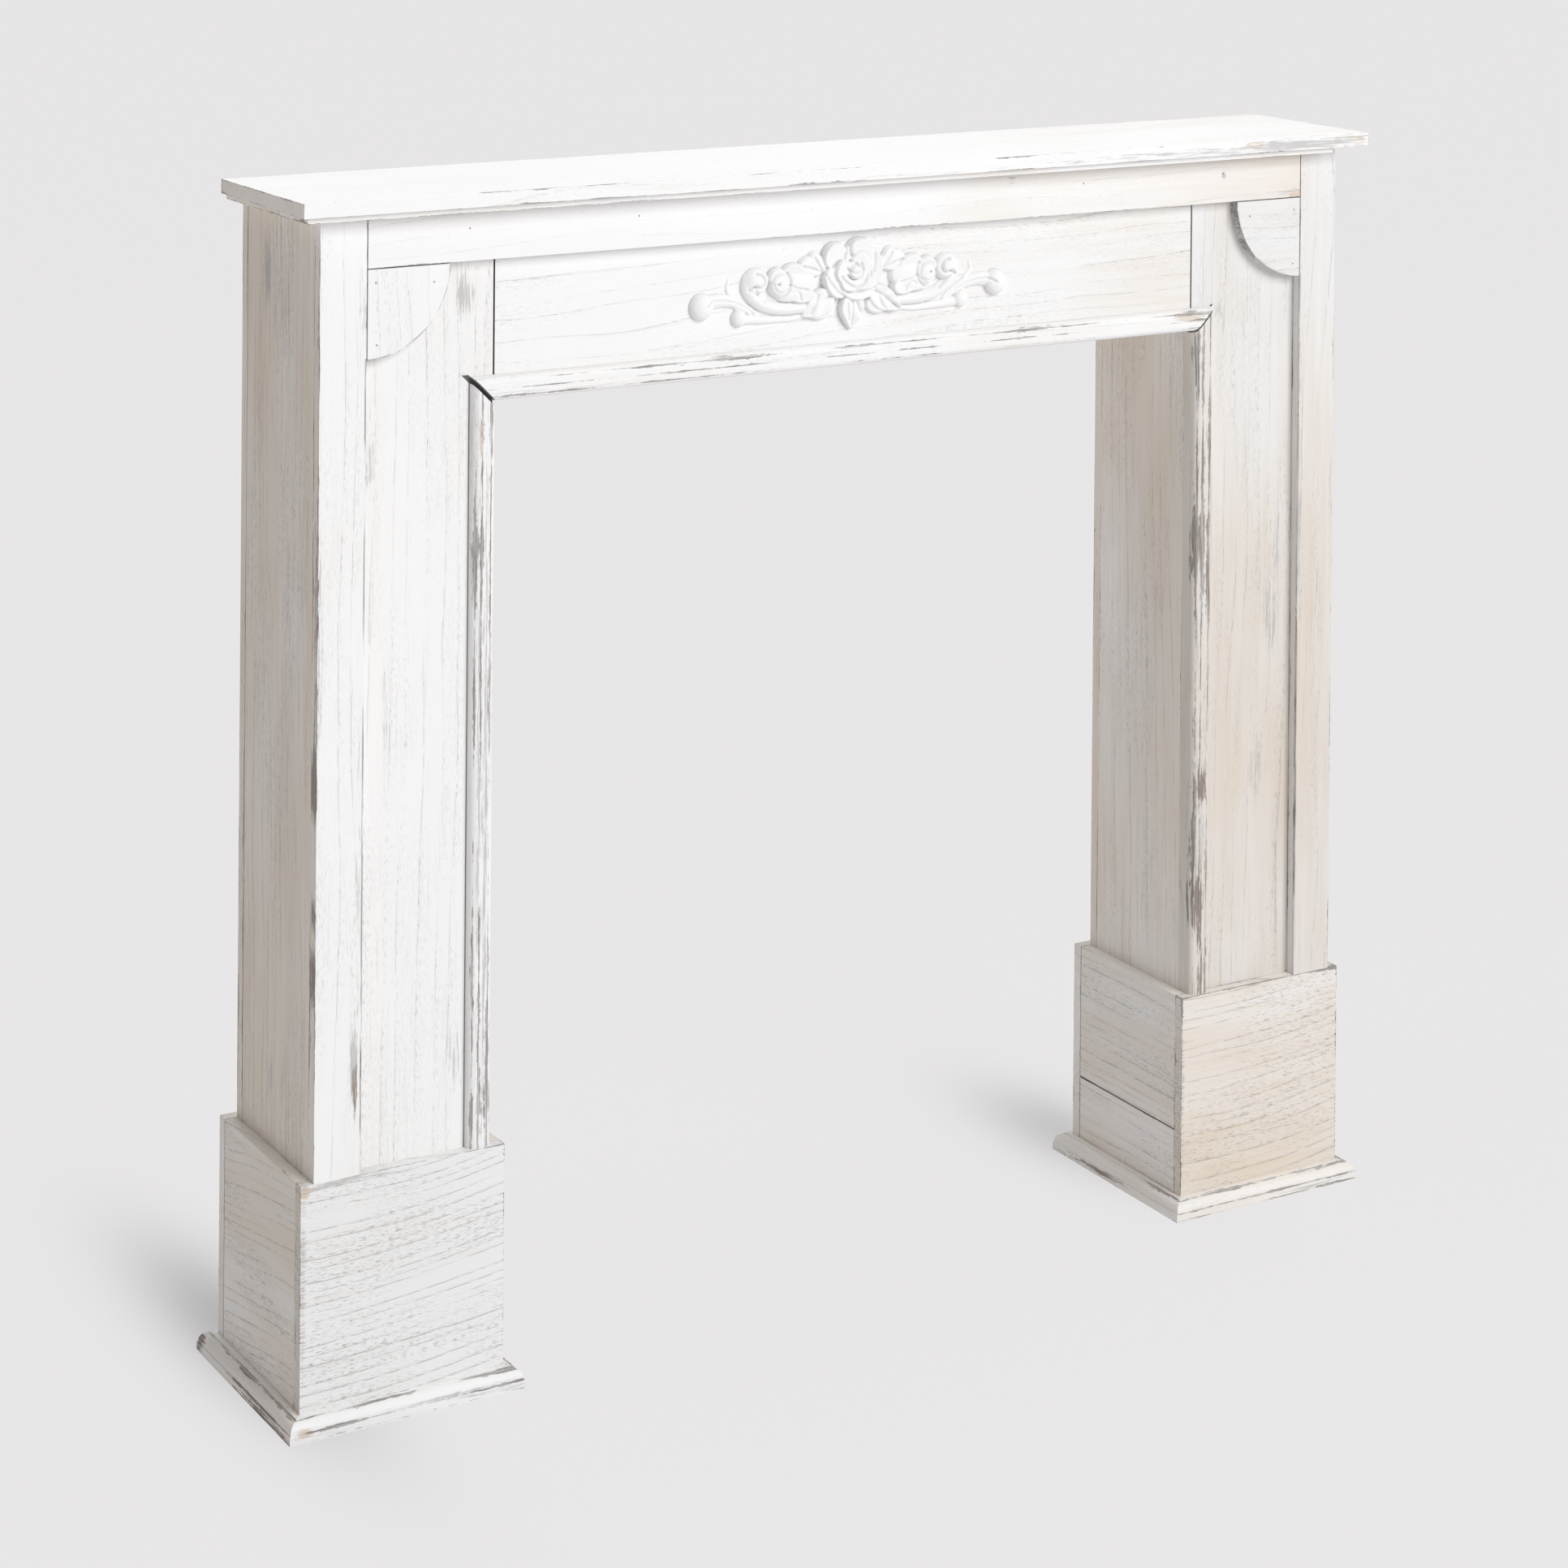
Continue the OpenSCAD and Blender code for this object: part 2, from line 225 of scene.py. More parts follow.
def growth_rings(g, given, moved):
    """Rings round a log axis beside the board, a little wavy: distance past a ring, and its strength."""
    along, across, deep = g.split(given["Place"])
    wander = centred(g, moved, (0.0022, 0.008, 0.008), 2.0)
    ripple = centred(g, moved, (0.014, 0.05, 0.05), 2.0)
    lean = g.add(given["Log tilt"], g.mul(along, given["Log bend"]))
    log_y = g.add(g.add(given["Log across"], g.mul(wander, LOG_WANDER)), g.mul(along, lean))
    dy = g.sub(across, log_y)
    dz = g.sub(deep, given["Log deep"])
    radius = g.math("SQRT", g.add(g.mul(dy, dy), g.mul(dz, dz)))
    radius = g.add(radius, g.add(g.mul(wander, RING_WANDER), g.mul(ripple, RING_RIPPLE)))
    uneven = centred(g, g.vector(g.mul(radius, 0.045), given["Seed"], 0.0), (1.0, 1.0, 1.0), 1.0)
    turn = g.add(g.math("DIVIDE", radius, given["Spacing"]), g.mul(uneven, 1.6))
    past = g.mul(g.math("FRACT", turn), given["Spacing"])
    ring = g.vector(g.mul(g.math("FLOOR", turn), 1.37), g.mul(given["Seed"], 3.1), g.mul(along, 0.006))
    return past, g.noise(ring, (1.0, 1.0, 1.0), 1.0)


def grain_share(g, given, moved, fibre):
    """Dark share of the grain: rows of open pores start some rings, and fine fibre fills the rest."""
    past, picked = growth_rings(g, given, moved)
    dash = g.noise(moved, (0.050, 0.9, 0.9), 2.0, 0.6)
    speck = g.noise(moved, (0.17, 0.95, 0.95), 2.0, 0.55)
    patch = g.noise(moved, (0.006, 0.025, 0.025), 2.0)
    line = g.mul(g.fade(past, RING_LINE), g.step(dash, 0.38, 0.56))
    line = g.mul(line, g.step(picked, 0.34, 0.62))
    pores = g.mul(g.add(g.fade(past, PORE_BAND), 0.22), g.step(speck, 0.53, 0.66))
    pores = g.mul(pores, g.step(patch, 0.36, 0.62))
    hair = g.step(g.add(fibre, g.mul(g.sub(patch, 0.5), 0.25)), 0.57, 0.70)
    grain = g.add(line, g.add(g.mul(pores, 0.60), g.mul(hair, given["Fibre"])))
    return g.math("MULTIPLY", grain, given["Grain"], clamp=True)


def limewash(g, given, moved, fibre, brush):
    """Thin limewash, brushed on along the grain and thinner in places: its colour and its cover."""
    cloud = g.noise(moved, (0.004, 0.011, 0.011), 2.0)
    thin = g.add(g.mul(g.sub(brush, 0.5), 0.75), g.mul(g.sub(cloud, 0.5), 1.0))
    cover = g.math("ADD", given["Cover"], thin, clamp=True)
    wood = g.mix(fibre, tuple(c * 0.90 for c in WOOD), tuple(min(1.0, c * 1.06) for c in WOOD))
    paint = g.mix(g.step(fibre, 0.30, 0.72), tuple(c * 0.975 for c in PAINT), PAINT)
    shade = g.mul(given["Tone"], g.add(0.975, g.mul(g.sub(cloud, 0.5), 0.06)))
    dim = g.node("ShaderNodeVectorMath", operation="SCALE")
    g.feed(g.mix(cover, wood, paint), dim.inputs[0])
    g.feed(shade, dim.inputs[3])
    return dim.outputs[0], cover


def wear_shares(g, given, moved, streak):
    """Rubbed edges, dry-brush smudges and bare spots, all streaked along the grain."""
    ragged = g.noise(moved, (0.10, 0.36, 0.36), 3.0, 0.7)
    block = g.noise(moved, (0.0075, 0.03, 0.03), 2.0, 0.6)
    near = g.fade(given["Edge"], RUB_WIDTH)
    rub = g.add(g.mul(g.sub(near, 0.5), 0.60), g.mul(g.sub(ragged, 0.5), 0.80))
    rub = g.add(rub, g.mul(g.sub(block, 0.5), 1.7))
    rub = g.add(rub, g.mul(g.sub(streak, 0.5), 0.60))
    limit = g.sub(0.62, g.mul(given["Wear"], 0.62))
    worn = g.mul(g.step(rub, limit, g.add(limit, 0.12)), g.step(given["Edge"], *RUB_REACH))
    rough_edge = g.add(g.mul(g.sub(streak, 0.5), 2.6), g.mul(g.sub(ragged, 0.5), 1.0))
    smudge = g.step(g.add(given["Smudge"], rough_edge), 0.30, 0.95)
    smudge = g.mul(smudge, g.step(given["Smudge"], 0.03, 0.30))
    stripped = g.step(g.add(given["Bare"], g.mul(rough_edge, 0.80)), 0.36, 0.60)
    stripped = g.mul(stripped, g.step(given["Bare"], 0.03, 0.25))
    return worn, smudge, stripped


def wood_group():
    """Whitewashed ring-porous wood. Place is in millimetres: X along the grain, Y across, Z deep."""
    tree = bpy.data.node_groups.new("whitewashed_wood", "ShaderNodeTree")
    sockets = tree.interface
    sockets.new_socket("Place", in_out="INPUT", socket_type="NodeSocketVector")
    for name, value in WOOD_NUMBERS.items():
        sockets.new_socket(name, in_out="INPUT", socket_type="NodeSocketFloat").default_value = value
    sockets.new_socket("Color", in_out="OUTPUT", socket_type="NodeSocketColor")
    for name in ("Roughness", "Height"):
        sockets.new_socket(name, in_out="OUTPUT", socket_type="NodeSocketFloat")
    g = Graph(tree)
    given = g.node("NodeGroupInput").outputs
    seed = given["Seed"]
    moved = g.shifted(given["Place"], g.vector(g.mul(seed, 91.7), g.mul(seed, 37.3), g.mul(seed, 53.9)))
    fibre = g.noise(moved, (0.014, 0.85, 0.85), 3.0, 0.6)
    brush = g.noise(moved, (0.009, 0.14, 0.14), 4.0, 0.62)
    streak = g.noise(moved, (0.022, 0.60, 0.60), 3.0, 0.65)
    grain = grain_share(g, given, moved, fibre)
    washed, cover = limewash(g, given, moved, fibre, brush)
    worn, smudge, stripped = wear_shares(g, given, moved, streak)

    color = g.mix(g.mul(grain, 0.55), washed, RING)
    color = g.mix(g.mul(smudge, 0.66), color, GREY)
    under = g.mix(g.step(g.add(streak, g.mul(given["Tan"], 0.5)), 0.56, 0.74), BROWN, TAN)
    color = g.mix(g.mul(stripped, g.sub(0.88, g.mul(given["Tan"], 0.45))), color, under)
    color = g.mix(g.mul(worn, g.add(0.42, g.mul(g.step(streak, 0.38, 0.60), 0.40))), color, DARK)
    rough = g.blend(worn, g.blend(cover, 0.72, 0.58), 0.82)
    relief = g.sub(g.mul(fibre, 0.30), g.mul(grain, 0.50))
    relief = g.sub(g.add(relief, g.mul(brush, 0.55)), g.mul(g.add(worn, stripped), 0.35))
    out = g.node("NodeGroupOutput")
    g.feed(color, out.inputs["Color"])
    g.feed(rough, out.inputs["Roughness"])
    g.feed(relief, out.inputs["Height"])
    return tree


def new_material(name):
    material = bpy.data.materials.new(name)
    material.use_nodes = True
    material.node_tree.nodes.clear()
    return material, Graph(material.node_tree)


def finish_surface(g, color, rough, height, bump_mm, specular=0.35):
    """Ends a material with one principled shader, its bump and the output."""
    shader = g.node("ShaderNodeBsdfPrincipled")
    g.feed(color, shader.inputs["Base Color"])
    g.feed(rough, shader.inputs["Roughness"])
    shader.inputs["Specular IOR Level"].default_value = specular
    bump = g.node("ShaderNodeBump")
    bump.inputs["Strength"].default_value = 1.0
    bump.inputs["Distance"].default_value = bump_mm * MM
    g.feed(height, bump.inputs["Height"])
    g.tree.links.new(bump.outputs[0], shader.inputs["Normal"])
    out = g.node("ShaderNodeOutputMaterial")
    g.tree.links.new(shader.outputs[0], out.inputs["Surface"])


def position_mm(g):
    coords = g.node("ShaderNodeTexCoord")
    return g.scaled(coords.outputs["Object"], (1 / MM, 1 / MM, 1 / MM))


def facing(g, axis):
    """1 on faces that look along an axis, either way."""
    normal = g.split(g.node("ShaderNodeNewGeometry").outputs["True Normal"])
    return g.step(g.math("ABSOLUTE", normal[AXES[axis]]), 0.60, 0.80)


def box_edge(g, here, low, high):
    """Distance in millimetres to the nearest edge of a board: the second least of three insets."""
    inset = [g.low(g.sub(p, a), g.sub(b, p)) for p, a, b in zip(here, low, high)]
    inset = [g.high(d, 0.0) for d in inset]
    least = g.low(inset[0], inset[1])
    most = g.high(inset[0], inset[1])
    return g.high(least, g.low(most, inset[2]))


def plane_edge(g, here, planes):
    """Distance to the nearest of some planes, each given as (axis, place in millimetres)."""
    found = 1000.0
    for axis, place in planes:
        found = g.low(found, g.math("ABSOLUTE", g.sub(here[AXES[axis]], place)))
    return found


def spot_mask(g, here, spots):
    """Soft patches, each given as (x, y, z, half sizes, strength); None leaves an axis out."""
    total = 0.0
    for centre, reach, strength in spots:
        far = 0.0
        for axis in range(3):
            if centre[axis] is not None:
                off = g.mul(g.sub(here[axis], centre[axis]), 1.0 / reach[axis])
                far = g.add(far, g.mul(off, off))
        total = g.add(total, g.mul(g.math("EXPONENT", g.mul(far, -1.0)), strength))
    return total


def box_mask(g, here, boxes, soft=0.3):
    """1 inside any of some boxes, each a low and a high corner; None leaves a side open."""
    total = 0.0
    for low, high in boxes:
        inside = 1.0
        for axis in range(3):
            if low[axis] is not None:
                inside = g.mul(inside, g.step(here[axis], low[axis] - soft, low[axis] + soft))
            if high[axis] is not None:
                inside = g.mul(inside, g.step(here[axis], high[axis] + soft, high[axis] - soft))
        total = g.high(total, inside)
    return total


def wood_material(name, group, seed, grain, across, log, tilt=0.0, bend=0.0, spacing=RING_SPACING,
                  cover=0.8, flank=None, tone=1.0, ring=1.0, fibre=0.2, wear=0.5, edges=None, smudges=(),
                  bare=(), tan=0.0, gaps=None, seams=(), bump=0.22):
    """One board's finish. grain and across are row axes; log is the log axis from the board's middle.
    flank is the cover of faces that look along X; the gap and seam masks mark painted shade, drawn near
    black in narrow gaps, slots and corners."""
    low, high = [[c / MM for c in corner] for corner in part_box(name)]
    material, g = new_material("finish_" + name)
    here = g.split(position_mm(g))
    deep = next(a for a in "xyz" if a not in (grain, across))
    middle = [(a + b) / 2 for a, b in zip(low, high)]
    local = [g.sub(here[AXES[a]], middle[AXES[a]]) for a in (grain, across, deep)]
    board = g.node("ShaderNodeGroup", node_tree=group)
    g.feed(g.vector(*local), board.inputs["Place"])
    values = {"Seed": seed, "Log across": log[0], "Log deep": log[1], "Log tilt": tilt,
              "Log bend": bend, "Spacing": spacing, "Grain": ring, "Fibre": fibre, "Tan": tan}
    for key, value in values.items():
        board.inputs[key].default_value = value
    g.feed(tone(g, here) if callable(tone) else tone, board.inputs["Tone"])
    share = cover(g, here) if callable(cover) else cover
    if flank is not None:
        sideways = facing(g, "x")
        share = g.blend(sideways, share, flank)
        wear = g.add(wear, g.mul(sideways, FLANK_WEAR))
    g.feed(share, board.inputs["Cover"])
    g.feed(wear, board.inputs["Wear"])
    edge = edges(g, here, low, high) if edges else box_edge(g, here, low, high)
    g.feed(edge, board.inputs["Edge"])
    g.feed(spot_mask(g, here, smudges), board.inputs["Smudge"])
    g.feed(spot_mask(g, here, bare), board.inputs["Bare"])
    color = board.outputs["Color"]
    # Painted shade: near black where a gap, slot, joint or corner lies in shadow.
    if gaps:
        color = g.mix(gaps(g, here), color, GAP_SHADE)
    if seams:
        color = g.mix(g.mul(box_mask(g, here, seams), 0.80), color, GAP_SHADE)
    finish_surface(g, color, board.outputs["Roughness"], board.outputs["Height"], bump)
    return material


def steel_material():
    """Plain wire steel, faintly mottled."""
    material, g = new_material("finish_steel")
    here = position_mm(g)
    mottle = g.noise(here, (0.9, 0.9, 0.9), 3.0)
    color = g.mix(mottle, tuple(c * 0.6 for c in STEEL), STEEL)
    finish_surface(g, color, g.add(0.3, g.mul(mottle, 0.3)), mottle, 0.03, specular=0.8)
    return material


def casting_material():
    """Matt paint on the cast ornament, with painted shade in its hollows."""
    material, g = new_material("finish_ornament")
    here = position_mm(g)
    hollow_shade = g.node("ShaderNodeAttribute", attribute_name="hollow_shade").outputs["Fac"]
    mottle = g.noise(here, (0.16, 0.16, 0.16), 3.0, 0.6)
    fine = g.noise(here, (1.4, 1.4, 1.4), 3.0, 0.6)
    # Painted shade: the hollows of the casting are greyed by their stored depth.
    share = g.math("MULTIPLY", hollow_shade, g.add(0.35, g.mul(mottle, 0.5)), clamp=True)
    color = g.mix(share, CAST, CAST_HOLLOW_SHADE)
    rough = g.add(0.5, g.mul(fine, 0.2))
    finish_surface(g, color, rough, g.add(g.mul(fine, 0.6), mottle), 0.12)
    return material


def soften(node, width_mm, segments=3):
    """Rounds a CAD piece's edges with a modifier, so its own mesh stays as it is."""
    bevel = node.modifiers.new("soft_edges", "BEVEL")
    bevel.width = width_mm * MM
    bevel.segments = segments
    bevel.limit_method = "ANGLE"
    bevel.angle_limit = math.radians(40)
    bevel.harden_normals = False


# ---- Carved ornament ----

# Grid step of the relief, and how far its edge goes down into the frieze.
STEP_MM = 0.7
SINK_MM = 0.3
BACK_MM = 0.2


class Relief:
    """A height field over the frieze in millimetres, built up from overlapping carved forms."""

    def __init__(self, x0, x1, z0, z1):
        self.x = np.arange(x0, x1 + STEP_MM, STEP_MM)
        self.z = np.arange(z0, z1 + STEP_MM, STEP_MM)
        self.X, self.Z = np.meshgrid(self.x, self.z)
        self.height = np.full(self.X.shape, -5.0)

    def place(self, form):
        self.height = np.maximum(self.height, form)

    def carve(self, path, width, depth):
        """A groove along a path, only where there is something to carve."""
        off, _ = self.to_path(path)
        cut = depth * np.exp(-((off / width) ** 2))
        floor = np.minimum(self.height, 1.0)
        self.height = np.maximum(self.height - cut, floor)

    def to_path(self, path):
        """Distance to a smooth curve through some points, and how far along it (0 to 1)."""
        line = smooth_curve(path)
        best = np.full(self.X.shape, 1e9)
        share = np.zeros(self.X.shape)
        count = len(line) - 1
        for i in range(count):
            ax, az = line[i]
            bx, bz = line[i + 1]
            span = max((bx - ax) ** 2 + (bz - az) ** 2, 1e-9)
            t = np.clip(((self.X - ax) * (bx - ax) + (self.Z - az) * (bz - az)) / span, 0, 1)
            off = np.hypot(self.X - ax - t * (bx - ax), self.Z - az - t * (bz - az))
            closer = off < best
            best = np.where(closer, off, best)
            share = np.where(closer, (i + t) / count, share)
        return best, share

    def local(self, cx, cz, degrees):
        """Coordinates along and across a direction, from a centre."""
        c, s = math.cos(math.radians(degrees)), math.sin(math.radians(degrees))
        dx, dz = self.X - cx, self.Z - cz
        return dx * c + dz * s, dz * c - dx * s

    def mound(self, cx, cz, rx, rz, rise, base=0.0, degrees=0.0):
        """A rounded boss."""
        u, v = self.local(cx, cz, degrees)
        rho = np.hypot(u / rx, v / rz)
        inside = base + rise * np.sqrt(np.clip(1 - rho**2, 0, 1))
        edge = (1 - rho) * min(rx, rz) * 3.0
        self.place(np.minimum(inside, edge))

    def petal(self, cx, cz, rx, rz, degrees, base, lift):
        """A cupped petal, low at its root and rolled over at its far rim."""
        u, v = self.local(cx, cz, degrees)
        rho = np.hypot(u / rx, v / rz)
        cup = base + lift * np.clip(0.45 + 0.55 * u / rx, 0, 1) ** 1.5
        cup = cup + 0.9 * np.clip(rho, 0, 1) ** 4
        edge = (1 - rho) * min(rx, rz)
        roll = (cup + 0.2) * np.clip(edge / 1.6, 0, 1) ** 0.5
        self.place(np.where(edge > 0, roll, edge * 3.0))

    def tube(self, path, r0, r1, rise, crest=0.0):
        """A rounded stem along a path; crest adds a ridge along its middle."""
        off, share = self.to_path(path)
        r = r0 + (r1 - r0) * share
        bow = np.sqrt(np.clip(1 - (off / r) ** 2, 0, 1))
        ridge = crest * np.exp(-((off / (0.35 * r)) ** 2))
        self.place(np.where(off < r, rise * r * bow + ridge, (r - off) * 3.0))

    def leaf(self, root, tip, width, base, lift, ribs=4, bend=0.0):
        """A pointed leaf with a sunk midrib, side ribs and a raised outline."""
        length = math.dist(root, tip)
        angle = math.degrees(math.atan2(tip[1] - root[1], tip[0] - root[0]))
        u, v = self.local(root[0], root[1], angle)
        t = np.clip(u / length, 0, 1)
        v = v - bend * np.sin(math.pi * t)
        half = width / 2 * np.sin(math.pi * t**0.72) ** 0.8 + 0.05
        edge = half - np.abs(v) - np.abs(u - t * length)
        wave = 0.45 * np.cos(2 * math.pi * ribs * (t - 0.35 * np.abs(v) / max(width / 2, 1)))
        top = base + lift * np.sin(math.pi * np.clip(t * 0.9 + 0.1, 0, 1)) + wave
        top = top + 0.9 * np.clip(np.abs(v) / np.maximum(half, 0.5), 0, 1)
        top = top - 1.3 * np.exp(-((v / 0.9) ** 2))
        self.place(np.where(edge > 0, top * np.clip(edge / 1.3, 0, 1) ** 0.5, edge * 3.0))


def between(t, a, b, c, d):
    """Catmull-Rom value at share t of the way from b to c."""
    cubic = (2 * a - 5 * b + 4 * c - d) * t**2 + (3 * b - a - 3 * c + d) * t**3
    return 0.5 * (2 * b + (c - a) * t + cubic)


def smooth_curve(points, parts=6):
    """A Catmull-Rom curve through the points, as a list of points."""
    p = [points[0], *points, points[-1]]
    line = []
    for i in range(1, len(p) - 2):
        for k in range(parts):
            t = k / parts
            near = zip(p[i - 1], p[i], p[i + 1], p[i + 2])
            line.append(tuple(between(t, *four) for four in near))
    line.append(tuple(points[-1]))
    return line


def flipped(points, side):
    """Points of the left half, or their mirror image in the ornament's middle."""
    if side < 0:
        return list(points)
    return [(2 * ORNAMENT_X - x, z) for x, z in points]


def carve_half(r, side):
    """Scrolls, stems, side rose and leaves of one half; side is -1 for the left."""
    def at(x, z):
        return flipped([(x, z)], side)[0]

    turn = 1 if side < 0 else -1
    # Outer tail with its rolled end, and the stem with a small bulb below it.
    tail = [(-108, 873), (-118, 879), (-130, 885), (-145, 888), (-160, 886)]
    r.tube(flipped(tail, side), 2.5, 7.5, 0.75, 1.0)
    r.mound(*at(-163, 884), 12, 12, 9.5)
    r.carve(flipped([(-112, 875), (-122, 881.5), (-136, 887), (-152, 888.5), (-160, 885)], side), 1.1, 2.4)
    r.tube(flipped([(-121, 870), (-105, 868.5), (-88, 867.5), (-74, 867), (-60, 869)], side), 4.6, 2.0, 0.9)
    r.mound(*at(-126, 871.5), 8, 8, 7.0)
    # Spur between the tail and the scroll.
    r.tube(flipped([(-127, 880), (-132, 890), (-137, 897), (-136, 905)], side), 4.0, 1.5, 0.7)
    # Scroll: a broad band that runs under the side rose and rolls up at its head.
    scroll = [(-45, 876), (-62, 876), (-80, 876), (-97, 879), (-110, 886), (-118, 896), (-117, 904)]
    r.tube(flipped(scroll, side), 5.0, 6.5, 0.95, 0.6)
    r.mound(*at(-110, 902), 13, 12.5, 9.5)
    curl = [(-118, 895), (-113, 898), (-107, 897), (-103, 901), (-105, 907), (-111, 909)]
    r.carve(flipped(curl, side), 1.2, 3.2)
    r.carve(flipped([(-101, 884), (-109, 891), (-113, 898)], side), 1.1, 2.0)
    # Side rose: a broad folded petal and a rolled bud with a pin hole.
    r.petal(*at(-72, 903), 13, 15, 90 - 12 * turn, 4.0, 3.2)
    r.mound(*at(-72, 896), 23, 14.5, 5.2, 2.6, 10 * turn)
    r.petal(*at(-66, 889), 15, 9, 90 - 100 * turn, 5.4, 2.2)
    r.petal(*at(-90, 905), 8, 9, 90 + 30 * turn, 5.0, 2.6)
    r.mound(*at(-88, 898), 10.5, 11, 4.6, 5.4)
    r.carve(flipped([(-80, 908), (-77, 901), (-79, 892), (-86, 886), (-94, 888)], side), 1.0, 2.6)
    r.carve(flipped([(-95, 900), (-93, 894), (-87, 891), (-81, 894)], side), 0.8, 1.6)
    r.carve(flipped([(-77, 897), (-70, 894), (-60, 892)], side), 0.8, 2.0)
    r.carve(flipped([(-76, 890), (-71, 892), (-67, 888), (-66, 883)], side), 0.8, 1.5)
    # Upper leaf: a long blade and a short one with the vein of each cut from the root.
    r.mound(*at(-53, 911.5), 15, 10, 2.2, 3.6, 172 * turn)
    r.mound(*at(-50, 915), 10, 8, 2.2, 3.8, 110 * turn)
    r.carve(flipped([(-43, 905), (-52, 909), (-63, 912)], side), 1.0, 2.2)
    r.carve(flipped([(-44, 907), (-48, 913), (-52, 919)], side), 1.0, 2.2)


def carve_middle(r):
    """Lower leaves and the large rose, which are not mirror images of each other."""
    r.leaf((-32, 887), (-64, 868), 24, 4.2, 1.6, 2)
    r.mound(-46, 874, 15, 10.5, 2.4, 3.2)
    r.leaf((4, 887), (40, 867), 22, 4.4, 1.8, 3)
    r.mound(14, 874, 13, 9.5, 2.0, 3.4)
    r.leaf((-13, 886), (-14, 853), 25, 4.8, 2.0, 2)
    r.carve([(-48, 886), (-50, 879), (-55, 871)], 1.1, 1.8)
    r.carve([(10, 886), (22, 879), (36, 868)], 1.2, 2.4)
    r.carve([(15, 880), (17, 874), (22, 868)], 1.1, 2.0)
    r.carve([(-18, 877), (-18, 870), (-17, 862)], 0.9, 1.6)
    r.carve([(-9, 877), (-7, 871), (-3, 866)], 0.9, 1.6)
    # Outer petals, each lifted at its far rim.
    r.petal(-31, 919, 12.5, 13, 130, 5.0, 4.2)
    r.petal(-6, 917, 17, 16.5, 92, 5.2, 4.0)
    r.petal(6, 906, 11.5, 19, -4, 5.4, 3.4)
    r.petal(-29, 896, 13, 16.5, 218, 5.6, 3.6)
    r.petal(-8, 889, 10.5, 19, 270, 5.6, 4.2)
    # Middle petals and the rolled heart.
    r.petal(-22, 905, 10.5, 11.5, 165, 7.8, 2.4)
    r.petal(-6, 911, 11, 12, 60, 7.8, 2.6)
    r.petal(-4, 899, 11, 13, 318, 7.8, 2.4)
    r.petal(-18, 896, 9.5, 11, 240, 8.0, 2.2)
    r.mound(-12, 904, 9.5, 9.0, 3.2, 9.2)
    for path, width, depth in ROSE_LINES:
        r.carve(path, width, depth)


# Lines cut into the large rose: the rolled heart, then the seams between petals.
ROSE_LINES = [
    ([(-20, 908), (-16, 904), (-10, 905), (-8, 909), (-12, 912)], 0.8, 2.2),
    ([(-20, 902), (-14, 898), (-7, 899), (-4, 905), (-6, 912)], 0.8, 2.2),
    ([(-26, 901), (-20, 895), (-12, 891), (-4, 893), (1, 901)], 0.9, 2.4),
    ([(-34, 909), (-28, 914), (-22, 914), (-16, 914)], 1.0, 2.6),
    ([(-3, 920), (2, 915), (4, 908), (3, 900)], 0.9, 1.8),
    ([(-20, 887), (-10, 886), (0, 887), (10, 889)], 0.9, 2.0),
    ([(-18, 932), (-17, 925), (-15, 919)], 1.4, 3.0),
    ([(7, 926), (9, 916), (8, 903)], 0.9, 1.4),
    ([(-42, 904), (-36, 896), (-29, 888), (-22, 883)], 1.0, 2.2),
]


# The four sides of a grid cell: the way to the next cell, and the side's two corners in order.
CELL_SIDES = [
    (-1, 0, (0, 0), (0, 1)),
    (1, 0, (1, 1), (1, 0)),
    (0, -1, (1, 0), (0, 0)),
    (0, 1, (0, 1), (1, 1)),
]


def relief_mesh(name, relief):
    """A closed mesh: the carved front wherever it stands out, with a flat back inside the board."""
    up = np.clip(relief.height, -SINK_MM, None)
    solid = up > -SINK_MM + 1e-6
    ring = solid.copy()
    ring[1:] |= solid[:-1]
    ring[:-1] |= solid[1:]
    ring[:, 1:] |= ring[:, :-1].copy()
    ring[:, :-1] |= ring[:, 1:].copy()
    cell = ring[:-1, :-1] & ring[1:, :-1] & ring[:-1, 1:] & ring[1:, 1:]
    used = np.zeros(up.shape, bool)
    for dz in (0, 1):
        for dx in (0, 1):
            used[dz:dz + cell.shape[0], dx:dx + cell.shape[1]] |= cell
    index = np.full(up.shape, -1)
    index[used] = np.arange(used.sum())
    count = int(used.sum())
    x, z, y = relief.X[used], relief.Z[used], PANEL_Y - up[used]
    front = np.stack([x, y, z], 1)
    back = np.stack([x, np.full(count, PANEL_Y + SINK_MM + BACK_MM), z], 1)
    rows, cols = np.nonzero(cell)
    a, b = index[rows, cols], index[rows, cols + 1]
    c, d = index[rows + 1, cols + 1], index[rows + 1, cols]
    faces = [(int(p), int(q), int(s), int(t)) for p, q, s, t in zip(a, b, c, d)]
    faces += [(t + count, s + count, q + count, p + count) for p, q, s, t in faces]
    filled = np.pad(cell, 1)
    for dz, dx, u, v in CELL_SIDES:
        open_side = cell & ~filled[1 + dz:1 + dz + cell.shape[0], 1 + dx:1 + dx + cell.shape[1]]
        rows, cols = np.nonzero(open_side)
        p, q = index[rows + u[0], cols + u[1]], index[rows + v[0], cols + v[1]]
        faces += [(int(m), int(m) + count, int(n) + count, int(n)) for m, n in zip(p, q)]
    mesh = bpy.data.meshes.new(name)
    mesh.from_pydata((np.concatenate([front, back]) * MM).tolist(), [], faces)
    mesh.update()
    # Depth below the surroundings, kept on the mesh for the painted shade in the casting's hollows.
    hollow_shade = hollow_share(relief.height)[used]
    layer = mesh.attributes.new("hollow_shade", "FLOAT", "POINT")
    layer.data.foreach_set("value", np.concatenate([hollow_shade, hollow_shade]).astype(np.float32))
    mesh.shade_smooth()
    return mesh


